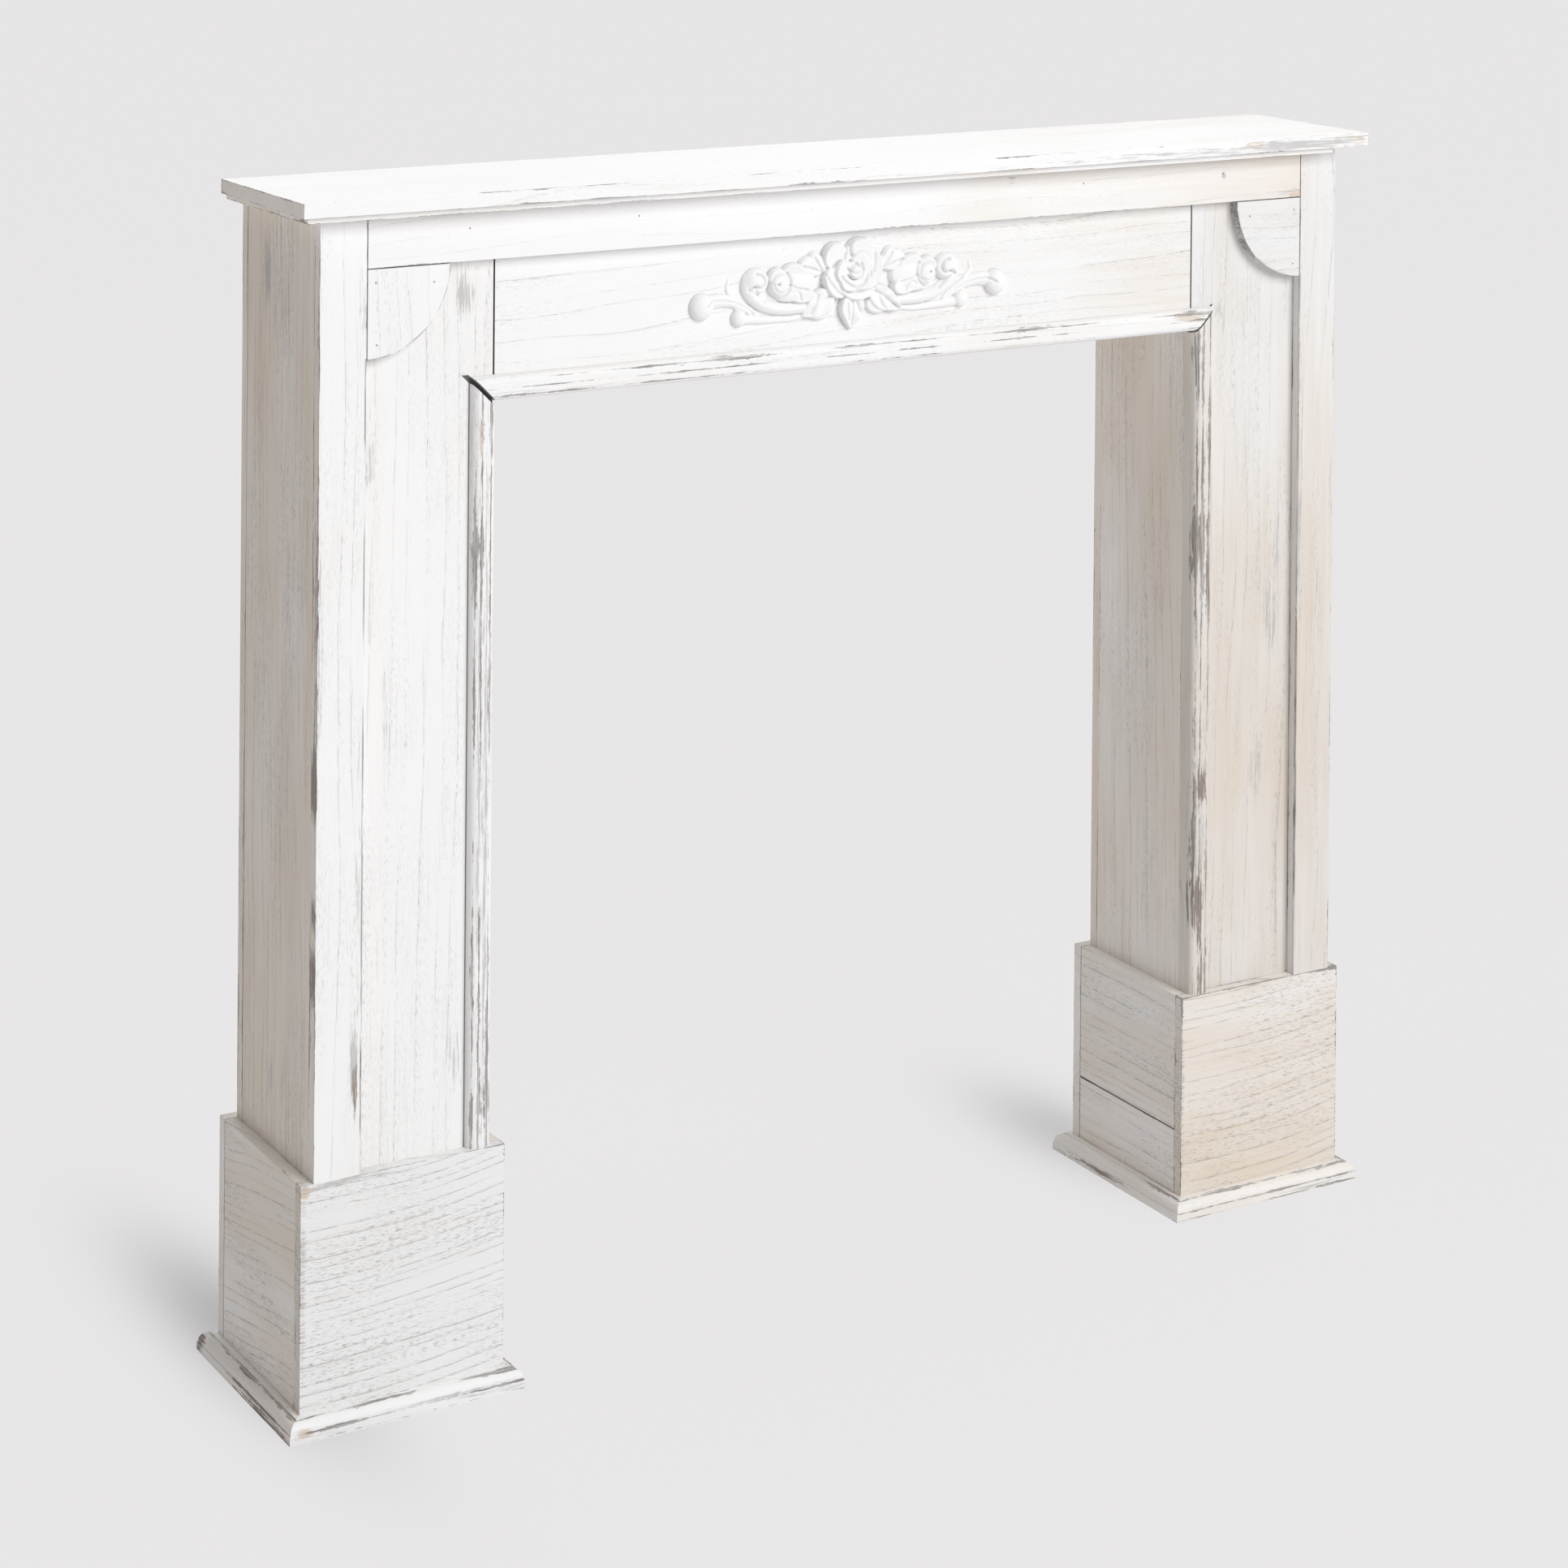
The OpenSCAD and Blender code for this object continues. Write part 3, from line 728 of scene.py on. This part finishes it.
def hollow_share(height):
    """How far each point lies below the average of its surroundings, 0 to 1."""
    level = np.clip(height, 0, None)
    spread = level.copy()
    for _ in range(14):
        p = np.pad(spread, 1, mode="edge")
        spread = (p[:-2, 1:-1] + p[2:, 1:-1] + p[1:-1, :-2] + p[1:-1, 2:] + 4 * spread) / 8
    return np.clip((spread - level) / 1.6, 0, 1)


def soft_surface(relief, rounds):
    """Takes the knife edges off the carving, as casting and paint do."""
    for _ in range(rounds):
        p = np.pad(relief.height, 1, mode="edge")
        mean = (p[:-2, 1:-1] + p[2:, 1:-1] + p[1:-1, :-2] + p[1:-1, 2:]) / 4
        relief.height = 0.5 * relief.height + 0.5 * mean


def build_ornament():
    relief = Relief(-180, 156, 848, 942)
    for side in (-1, 1):
        carve_half(relief, side)
    carve_middle(relief)
    for x, z in ((-90, 899), (66, 899)):
        relief.carve([(x, z), (x + 0.1, z)], 1.1, 3.5)
    soft_surface(relief, 1)
    piece = bpy.data.objects.new("carved_ornament", relief_mesh("carved_ornament", relief))
    bpy.context.collection.objects.link(piece)
    piece.data.materials.append(casting_material())
    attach(piece, "root")
    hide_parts("rose_ornament")


# ---- Finishes of the boards ----

def along_x(start, end, x0, x1):
    """A value that changes from start to end along the width, between x0 and x1."""
    def made(g, here):
        return g.blend(g.step(here[0], x0, x1), start, end)
    return made


def along_z(low, high, z0, z1):
    """A value that changes from low to high up the height, between z0 and z1."""
    def made(g, here):
        return g.blend(g.step(here[2], z0, z1), low, high)
    return made


def moulding_edges(g, here, low, high):
    """An upright moulding wears on both of its shoulders and down its middle."""
    return plane_edge(g, here, [("x", low[0] + 2.5), ("x", low[0] + 8.0), ("x", high[0] - 5.0)])


def header_edges(g, here, low, high):
    """The header moulding wears along its shoulders and its middle."""
    return plane_edge(g, here, [("z", low[2] + 3.5), ("z", low[2] + 10.0), ("z", high[2] - 4.0)])


def base_edges(g, here, low, high):
    """A base moulding wears along its fillet and its ledge."""
    return plane_edge(g, here, [("z", 7.4), ("z", 16.0), ("z", 1.0)])


def bracket_arc(g, here, s):
    """Distance from the centre of a bracket's curved edge."""
    dx = g.sub(here[0], s * STILE_X)
    dz = g.sub(here[2], RAIL_Z)
    return g.math("SQRT", g.add(g.mul(dx, dx), g.mul(dz, dz)))


def bracket_edges(s):
    """A bracket wears along its curved edge."""
    def made(g, here, low, high):
        return g.math("ABSOLUTE", g.sub(bracket_arc(g, here, s), BRACKET_R))
    return made


def arc_shadow_line(s, strength):
    """A broken line of painted shadow round a bracket's curved edge."""
    def made(g, here):
        rim = g.step(bracket_arc(g, here, s), BRACKET_R - 1.3, BRACKET_R - 0.7)
        broken = g.noise(g.vector(*here), (0.035, 0.035, 0.035), 2.0, 0.6)
        return g.mul(rim, g.mul(g.step(broken, 0.40, 0.56), strength))
    return made


def shaded_cut_ends(axis):
    """Cut ends in narrow gaps and open mitres, drawn near black as painted shade; they never took paint
    either.
    """
    def made(g, here):
        return g.mul(facing(g, axis), 0.92)
    return made


def mitre_shadow(side, gap):
    """Painted shade on the strip of the post seen through an open mitre, deep in the slot; the strip never
    took paint either.
    """
    def made(g, here):
        corner_x, corner_z = side * OPENING_X, OPENING_Z
        rise = g.sub(g.sub(here[2], corner_z), g.mul(g.sub(here[0], corner_x), side))
        inside = g.mul(g.step(rise, 0.4, 0.0), g.step(rise, -gap - 0.6, -gap - 0.1))
        near = g.mul(g.step(here[2], OPENING_Z - 12, OPENING_Z - 11), g.step(here[2], 845, 844))
        return g.mul(g.mul(inside, near), 0.93)
    return made


def finish_boards(nodes, group):
    """Gives every CAD node its finish and soft edges."""
    done = {}

    def board(name, *args, soft=0.7, **settings):
        done[name] = wood_material(name, group, len(done) + 1.0, *args, **settings)
        nodes[name].data.materials.clear()
        nodes[name].data.materials.append(done[name])
        if soft:
            soften(nodes[name], soft)

    finish_header(board)
    finish_post(board, "left", -1, 1.12, 1.12, 1.0)
    finish_plinth(board, "left", 1.12)
    finish_post(board, "right", 1, 0.50, 0.98, along_z(0.868, 0.915, 480, 930))
    finish_plinth(board, "right", 0.50)
    for name in ("shelf_dowels", "back_rail_dowels"):
        board(name, "z", "x", (6, 6), cover=0.0, wear=0.0, soft=0)
    steel = steel_material()
    for name in ("shelf_screws", "cleat_screws", "bracket_brads", "rail_brads", "ornament_pins"):
        nodes[name].data.materials.clear()
        nodes[name].data.materials.append(steel)


def finish_header(board):
    """Shelf, rail, frieze and what holds them."""
    board("shelf_board", "x", "y", (150, 60), cover=along_x(1.2, 0.90, 0, 520), ring=0.4, wear=0.52,
          flank=0.6, soft=2.4, smudges=SHELF_MARKS, bare=SHELF_BARE, tan=0.6)
    board("under_strip_front", "x", "y", (90, 50), cover=1.0, wear=0.60, ring=0.4, flank=0.6, soft=0.5)
    board("under_strip_back", "x", "y", (90, 50), cover=0.9, wear=0.5, ring=0.4, soft=0.5)
    for part in ("left", "right"):
        board("under_strip_" + part, "x", "y", (90, 50), cover=0.8, wear=0.5, ring=0.4, flank=0.6,
              soft=0.5)
    board("top_rail", "x", "z", (140, 60), tilt=0.02, cover=along_x(1.2, 0.68, -200, 380), wear=0.46,
          tone=along_x(1.0, 0.955, 0, STILE_X), ring=0.45, soft=0.9, bare=RAIL_BARE, tan=0.7,
          smudges=RAIL_MARKS)
    board("frieze_board", "x", "z", (150, 45), tilt=0.03, cover=along_x(1.2, 0.84, -200, 330), wear=0.2,
          tone=along_x(1.005, 0.965, -100, OPENING_X), ring=0.85, soft=0.4, gaps=shaded_cut_ends("x"))
    board("header_moulding", "x", "z", (60, 40), cover=1.0, wear=0.79, edges=header_edges, soft=0.3,
          ring=0.6, gaps=shaded_cut_ends("x"), bare=[((350, None, 836), (18, 1, 4), 1.1)], tan=0.7)
    board("header_back_rail", "x", "z", (60, 40), cover=0.7, wear=0.4)
    board("shelf_cleat", "x", "z", (30, 30), cover=0.0, wear=0.1)
    for side in ("left", "right"):
        board(f"frieze_cleat_{side}", "z", "x", (30, 30), cover=0.0, wear=0.1, tone=0.4)


def finish_post(board, side, s, cover_low, cover_high, tone):
    """One post with its stile, bracket and moulding; s is -1 on the left and 1 on the right."""
    front = along_z(cover_low, cover_high, 520, 930)
    inner = FLANK_COVER if side == "left" else along_z(0.60, 0.40, 450, 850)
    board(f"{side}_post_top_panel", "x", "y", (30, 30), cover=0.0, wear=0.1)
    board(f"{side}_stile", "z", "x", (s * 60, 50), tilt=0.01, spacing=11.0, cover=front,
          flank=STILE_FLANK[side], wear=0.55, tone=tone, ring=0.9, soft=0.9, smudges=STILE_MARKS[side],
          bare=STILE_BARE[side], tan=-0.1, gaps=stile_shade_line(s))
    grain, across = ("z", "x") if side == "left" else ("x", "z")
    board(f"{side}_bracket", grain, across, (60, 40), spacing=9.0, cover=front, wear=0.52, ring=0.8,
          tone=tone, flank=1.1, soft=0.4, edges=bracket_edges(s), gaps=arc_shadow_line(s, 0.42 - 0.13 * s))
    board(f"{side}_post_front", "z", "x", (s * 80, 46), tilt=0.015, cover=front, flank=FLANK_COVER,
          wear=0.2, tone=tone, ring=1.0, fibre=0.25, soft=0.3, smudges=PANEL_MARKS[side],
          gaps=mitre_shadow(s, MITRE_DROP[side]), seams=post_seams(s))
    # The outer side board gets a line of painted shade along a joint.
    board(f"{side}_post_outer_side", "z", "y", (120, 30), tilt=0.01, spacing=9.0, cover=FLANK_COVER,
          wear=0.35, ring=1.4, fibre=0.45, soft=0.3, smudges=FLANK_MARKS[side],
          seams=[((None, 68.7, None), (None, 70.0, None))])
    board(f"{side}_post_inner_side", "z", "y", (-110, 40), tilt=0.02, spacing=12.0, cover=inner, wear=0.45,
          tone=1.04, ring=1.35, fibre=0.45, soft=0.3)
    board(f"{side}_post_back", "z", "x", (-50, 60), cover=0.7, flank=FLANK_COVER, wear=0.5, soft=0.4)
    board(f"{side}_opening_moulding", "z", "x", (40, 40), cover=front, wear=0.96, soft=0.3, ring=0.6,
          fibre=0.5, tone=tone, edges=moulding_edges, bare=MOULDING_MARKS[side],
          smudges=MOULDING_GREY[side], tan=MOULDING_TAN[side], gaps=shaded_cut_ends("z"))


def finish_plinth(board, side, cover_low):
    """The boards of one plinth and the mouldings round its foot."""
    # Painted shade along a joint in each plinth side board.
    side_seam = [((None, 79.6, None), (None, 81.0, None))]
    board(f"{side}_plinth_front", "x", "z", (-170, 60), tilt=0.06, bend=0.0005, spacing=7.0,
          cover=cover_low, flank=0.5, wear=0.56, tone=0.937, ring=PLINTH_RING[side], fibre=0.12,
          bare=PLINTH_BARE[side], tan=0.4, smudges=PLINTH_MARKS[side])
    board(f"{side}_plinth_back", "x", "z", (30, 40), tilt=0.08, cover=0.7, wear=0.5)
    board(f"{side}_plinth_outer_side", "y", "z", (160, 50), tilt=-0.16, spacing=8.0, cover=0.55, wear=0.50,
          ring=1.7, soft=0.4, seams=side_seam)
    for part in ("front", "back"):
        board(f"{side}_base_{part}", "x", "z", (40, 40), cover=cover_low + 0.2, wear=0.72,
              edges=base_edges, tone=0.965, ring=0.5, soft=0.4, bare=BASE_BARE[side], tan=0.5,
              smudges=BASE_MARKS[side])
    for part in ("outer", "inner"):
        board(f"{side}_base_{part}", "y", "z", (40, 40), cover=0.8, wear=0.74, edges=base_edges, ring=0.6,
              soft=0.4, bare=BASE_SIDE_MARKS[side], tan=-0.2)
    parts = [""] if side == "left" else ["_upper", "_lower"]
    # Painted shade in the gap between the upper and lower inner strips of the right plinth.
    strip_seam = [] if side == "left" else [((None, None, 75.7), (None, None, 77.1))]
    for part in parts:
        board(f"{side}_plinth_inner_side{part}", "y", "z", (-150, 50), tilt=0.02, spacing=8.0, cover=0.6,
              wear=0.50, ring=1.6, soft=0.4, seams=side_seam + strip_seam)


def stile_shade_line(s):
    """A broken line of painted shade down the inner edge of a stile and in the corner where it meets the
    panel.
    """
    x0, x1 = sorted((s * 478.0, s * 480.3))

    def made(g, here):
        below_bracket = ((x0, None, None), (x1, -82.0, 868.0))
        behind_gap = ((x0, -75.0, None), (x1, None, None))
        line = box_mask(g, here, [below_bracket, behind_gap])
        broken = g.noise(g.vector(*here), (0.3, 0.3, 0.016), 2.0, 0.6)
        return g.mul(line, g.mul(g.step(broken, 0.36, 0.56), 0.45 - 0.17 * s))
    return made


def post_seams(s):
    """Painted shadow lines on a post behind the open ends of the rail, round the bracket and, on the left,
    beside the opening moulding.
    """
    x0, x1 = sorted((s * 477.6, s * 479.3))
    wide0, wide1 = sorted((s * (STILE_X - BRACKET_R), s * STILE_X))
    boxes = [
        ((x0, None, RAIL_Z - BRACKET_R), (x1, None, None)),
        ((wide0, None, RAIL_Z - 1.4), (wide1, None, RAIL_Z + 0.3)),
    ]
    if s < 0:
        boxes.append(((-382.0, None, PLINTH_H), (-381.0, None, 838.0)))
    return boxes


# Cover of a stile's narrow side and strength of a plinth's ring lines.
STILE_FLANK = {"left": FLANK_COVER, "right": FLANK_COVER + 0.50}
PLINTH_RING = {"left": 2.0, "right": 1.5}

# Marks left by the brush and by rubbing: centre, half sizes and strength, in millimetres on the
# row's axes; None leaves an axis out.
SHELF_MARKS = [((330, -105, 992), (160, 4, 4), 0.62), ((480, -105, 994), (70, 4, 7), 0.80),
               ((30, -105, 990), (120, 4, 2), 0.35)]
SHELF_BARE = [((408, -105, 995), (15, 5, 7), 0.58), ((534, -105, 994), (12, 4, 7), 0.5)]
RAIL_BARE = [((476, None, 943), (10, 1, 5), 1.2)]
RAIL_MARKS = [((466, None, 946), (16, 1, 5), 0.5), ((388, None, 967), (2, 1, 3.5), 1.3),
              ((150, None, 977), (5, 1, 5), 0.6)]
STILE_MARKS = {
    "left": [((-486, -84, 290), (4, 6, 30), 0.95), ((-483, -84, 420), (3, 6, 160), 0.50),
             ((-518, -84, 640), (3, 6, 140), 0.45), ((-482, -84, 905), (4, 6, 50), 0.45)],
    "right": [((500, -84, 560), (9, 6, 200), 0.35), ((482, -84, 640), (3, 6, 160), 0.6)],
}
STILE_BARE = {
    "left": [((-484, -84, 272), (3, 6, 20), 0.70), ((-521, -80, 520), (1.6, 12, 24), 1.25),
             ((-521, -80, 560), (1.6, 6, 60), 0.75), ((-521, -80, 421), (1.6, 12, 16), 1.0),
             ((-521, -80, 366), (1.6, 12, 28), 1.15), ((-521, -82, 700), (1.6, 5, 90), 0.7),
             ((-521, -82, 900), (1.6, 5, 60), 0.60)],
    "right": [],
}
PANEL_MARKS = {
    "left": [((-386, None, 912), (8, 1, 22), 0.95), ((-392, None, 275), (9, 1, 26), 0.75),
             ((-470, None, 790), (6, 1, 45), 0.55), ((-455, None, 560), (5, 1, 70), 0.45)],
    "right": [((455, None, 545), (10, 1, 36), 0.75), ((462, None, 620), (6, 1, 50), 0.6),
              ((440, None, 405), (8, 1, 34), 0.5), ((392, None, 838), (5, 1, 9), 0.6)],
}
FLANK_MARKS = {
    "left": [((None, 26, 925), (1, 9, 34), 0.95), ((None, 40, 800), (1, 8, 70), 0.50),
             ((None, 6, 262), (1, 9, 26), 0.75), ((None, -20, 560), (1, 30, 160), 0.30)],
    "right": [((None, 0, 700), (1, 12, 60), 0.4)],
}
MOULDING_MARKS = {
    "left": [((-374, None, 790), (2.5, 1, 20), 0.8)],
    "right": [((367, None, 288), (9, 1, 34), 0.86), ((371, None, 222), (4, 1, 30), 0.62),
              ((368, None, 396), (9, 1, 20), 0.72), ((372, None, 450), (4, 1, 40), 0.40)],
}
MOULDING_GREY = {
    "left": [((-374, None, 560), (2.5, 1, 320), 0.85), ((-368, None, 500), (2.5, 1, 320), 0.85)],
    "right": [((366, None, 340), (9, 1, 90), 0.70), ((377, None, 620), (4, 1, 220), 0.70),
              ((363, None, 600), (2.5, 1, 260), 0.65)],
}
MOULDING_TAN = {"left": 0.6, "right": -0.2}
PLINTH_MARKS = {
    "left": [((-490, None, 199), (50, 1, 4), 0.85), ((-529, None, 120), (3, 1, 90), 0.65)],
    "right": [((350, None, 110), (3, 1, 90), 0.55), ((460, None, 60), (60, 1, 6), 0.30)],
}
PLINTH_BARE = {
    "left": [((-528, None, 196), (5, 1, 7), 0.85)],
    "right": [],
}
BASE_BARE = {"left": [((-532, None, 7), (9, 1, 5), 0.9)], "right": []}
BASE_MARKS = {
    "left": [((-400, None, 9), (70, 1, 2.0), 0.7), ((-360, None, 4), (40, 1, 3), 0.6)],
    "right": [((490, None, 4), (45, 1, 3), 0.7)],
}
BASE_SIDE_MARKS = {
    "left": [((None, -40, 2.5), (1, 75, 3.5), 0.70), ((None, 100, 8), (1, 10, 8), 0.75)],
    "right": [((None, 30, 5), (1, 60, 3.5), 0.55)],
}


# ---- Stage, light and camera ----

FLOOR_HALF = 60.0
# The floor lies this far below the feet, so that the two never share a plane.
FLOOR_DROP = 0.0003
FLOOR_TONE = (0.807, 0.793, 0.800)
FLOOR_GLOW = 0.983
FLOOR_MATT = 0.02
# Soft shade on the floor to the left of and behind each foot: x, y, half sizes in metres, depth.
FLOOR_SHADES = [(-0.50, 0.12, 0.055, 0.21, 0.44), (0.37, 0.13, 0.059, 0.135, 0.30)]
# Strength of the surroundings as the camera sees them and as they light the object.
SKY_SEEN = 0.798
SKY_LIGHT = 0.26

# Soft lamps: name, place, target and size in metres, power in watts.
KEY_LIGHT = ("key_light", (2.0, -6.3, 4.3), (0.0, 0.0, 0.6), (4.2, 4.2), 403)
TOP_LIGHT = ("top_light", (0.0, 0.0, 3.4), (0.0, 0.0, 0.5), (2.4, 1.2), 46)
BACK_LIGHT = ("back_light", (0.8, 5.5, 0.8), (0.0, 0.0, 0.5), (2.0, 1.0), 80)

LENS_MM = 85.08
SENSOR_MM = 36.0
SHIFT = (-0.03245, -0.66949)
# Metres from the main view's place between which the lens shift fades out.
SHIFT_KEPT = 0.05
SHIFT_GONE = 0.10
CAMERA_PLACE = (-1.70520, -2.85831, 1.40629)
# Yaw to the right of straight ahead, pitch below the horizon and roll, in radians.
CAMERA_YAW = 0.54079
CAMERA_PITCH = 0.00907
CAMERA_ROLL = 0.00842


def build_floor():
    """A plain pale floor that fills the picture, mostly self-lit so that it stays even."""
    mesh = bpy.data.meshes.new("studio_floor")
    half = FLOOR_HALF
    corners = [(-half, -half, 0), (half, -half, 0), (half, half, 0), (-half, half, 0)]
    mesh.from_pydata(corners, [], [(0, 1, 2, 3)])
    floor = bpy.data.objects.new("studio_floor", mesh)
    bpy.context.collection.objects.link(floor)
    floor.location.z = -FLOOR_DROP
    material, g = new_material("studio_floor")
    here = g.split(g.node("ShaderNodeTexCoord").outputs["Object"])
    shade = 0.0
    for x, y, sx, sy, depth in FLOOR_SHADES:
        u = g.mul(g.sub(here[0], x), 1.0 / sx)
        v = g.mul(g.sub(here[1], y), 1.0 / sy)
        far = g.add(g.mul(u, u), g.mul(v, v))
        shade = g.add(shade, g.mul(g.math("EXPONENT", g.mul(far, -1.0)), depth))
    glow = g.node("ShaderNodeEmission")
    glow.inputs["Color"].default_value = (*FLOOR_TONE, 1.0)
    g.feed(g.mul(FLOOR_GLOW, g.sub(1.0, shade)), glow.inputs["Strength"])
    matt = g.node("ShaderNodeBsdfDiffuse")
    matt.inputs["Color"].default_value = (*(c * FLOOR_MATT for c in FLOOR_TONE), 1.0)
    both = g.node("ShaderNodeAddShader")
    g.tree.links.new(glow.outputs[0], both.inputs[0])
    g.tree.links.new(matt.outputs[0], both.inputs[1])
    out = g.node("ShaderNodeOutputMaterial")
    g.tree.links.new(both.outputs[0], out.inputs["Surface"])
    mesh.materials.append(material)


def build_world():
    """Pale surroundings: full brightness to the camera, softer as a light."""
    world = bpy.data.worlds.new("studio")
    bpy.context.scene.world = world
    world.use_nodes = True
    world.node_tree.nodes.clear()
    g = Graph(world.node_tree)
    seen = g.node("ShaderNodeLightPath").outputs["Is Camera Ray"]
    back = g.node("ShaderNodeBackground")
    back.inputs["Color"].default_value = (*(c / FLOOR_TONE[0] for c in FLOOR_TONE), 1.0)
    g.feed(g.blend(seen, SKY_LIGHT, SKY_SEEN), back.inputs["Strength"])
    out = g.node("ShaderNodeOutputWorld")
    g.tree.links.new(back.outputs[0], out.inputs["Surface"])


def soft_box(name, place, target, size, watts):
    """A square or oblong soft lamp that faces its target."""
    light = bpy.data.lights.new(name, "AREA")
    light.shape = "RECTANGLE"
    light.size, light.size_y = size
    light.energy = watts
    lamp = bpy.data.objects.new(name, light)
    bpy.context.collection.objects.link(lamp)
    aim = np.array(target) - np.array(place)
    lamp.location = place
    lamp.rotation_mode = "QUATERNION"
    lamp.rotation_quaternion = Vector(aim).to_track_quat("-Z", "Y")
    return lamp


def spare_floor(lamp):
    """The light doesn't fall on the floor."""
    group = bpy.data.collections.new("not_lit")
    group.objects.link(bpy.data.objects["studio_floor"])
    group.collection_objects[0].light_linking.link_state = "EXCLUDE"
    lamp.light_linking.receiver_collection = group


def build_lights():
    for settings in (KEY_LIGHT, TOP_LIGHT):
        soft_box(*settings)
    spare_floor(soft_box(*BACK_LIGHT))


def shift_only_from(camera):
    """The lens shift holds at the main view's place; a camera moved away looks straight ahead."""
    home = bpy.data.objects.new("camera_place", None)
    home.location = CAMERA_PLACE
    bpy.context.collection.objects.link(home)
    for path, shift in zip(("shift_x", "shift_y"), SHIFT):
        curve = camera.data.driver_add(path)
        curve.driver.type = "SUM"
        away = curve.driver.variables.new()
        away.type = "LOC_DIFF"
        away.targets[0].id = camera
        away.targets[1].id = home
        while len(curve.modifiers):
            curve.modifiers.remove(curve.modifiers[0])
        while len(curve.keyframe_points):
            curve.keyframe_points.remove(curve.keyframe_points[0])
        for distance, value in ((SHIFT_KEPT, shift), (SHIFT_GONE, 0.0)):
            key = curve.keyframe_points.insert(distance, value)
            key.interpolation = "LINEAR"
        curve.extrapolation = "CONSTANT"


def build_camera():
    """A level camera above the shelf; its shifted lens looks down, so upright edges stay parallel."""
    data = bpy.data.cameras.new("camera")
    data.sensor_width = SENSOR_MM
    data.lens = LENS_MM
    data.shift_x, data.shift_y = SHIFT
    data.clip_start, data.clip_end = 0.05, 200
    camera = bpy.data.objects.new("camera", data)
    bpy.context.collection.objects.link(camera)
    ahead = np.array([math.sin(CAMERA_YAW), math.cos(CAMERA_YAW), 0.0])
    right = np.array([math.cos(CAMERA_YAW), -math.sin(CAMERA_YAW), 0.0])
    up = np.array([0.0, 0.0, 1.0])
    look = ahead * math.cos(CAMERA_PITCH) - up * math.sin(CAMERA_PITCH)
    top = up * math.cos(CAMERA_PITCH) + ahead * math.sin(CAMERA_PITCH)
    side = right * math.cos(CAMERA_ROLL) + top * math.sin(CAMERA_ROLL)
    over = top * math.cos(CAMERA_ROLL) - right * math.sin(CAMERA_ROLL)
    rows = [[side[i], over[i], -look[i], CAMERA_PLACE[i]] for i in range(3)]
    camera.matrix_world = Matrix(rows + [[0, 0, 0, 1]])
    shift_only_from(camera)
    bpy.context.scene.camera = camera


def main():
    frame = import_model()
    group = wood_group()
    finish_boards(frame["nodes"], group)
    build_ornament()
    build_floor()
    build_world()
    build_lights()
    build_camera()
    view = bpy.context.scene.view_settings
    view.view_transform = "Standard"


main()
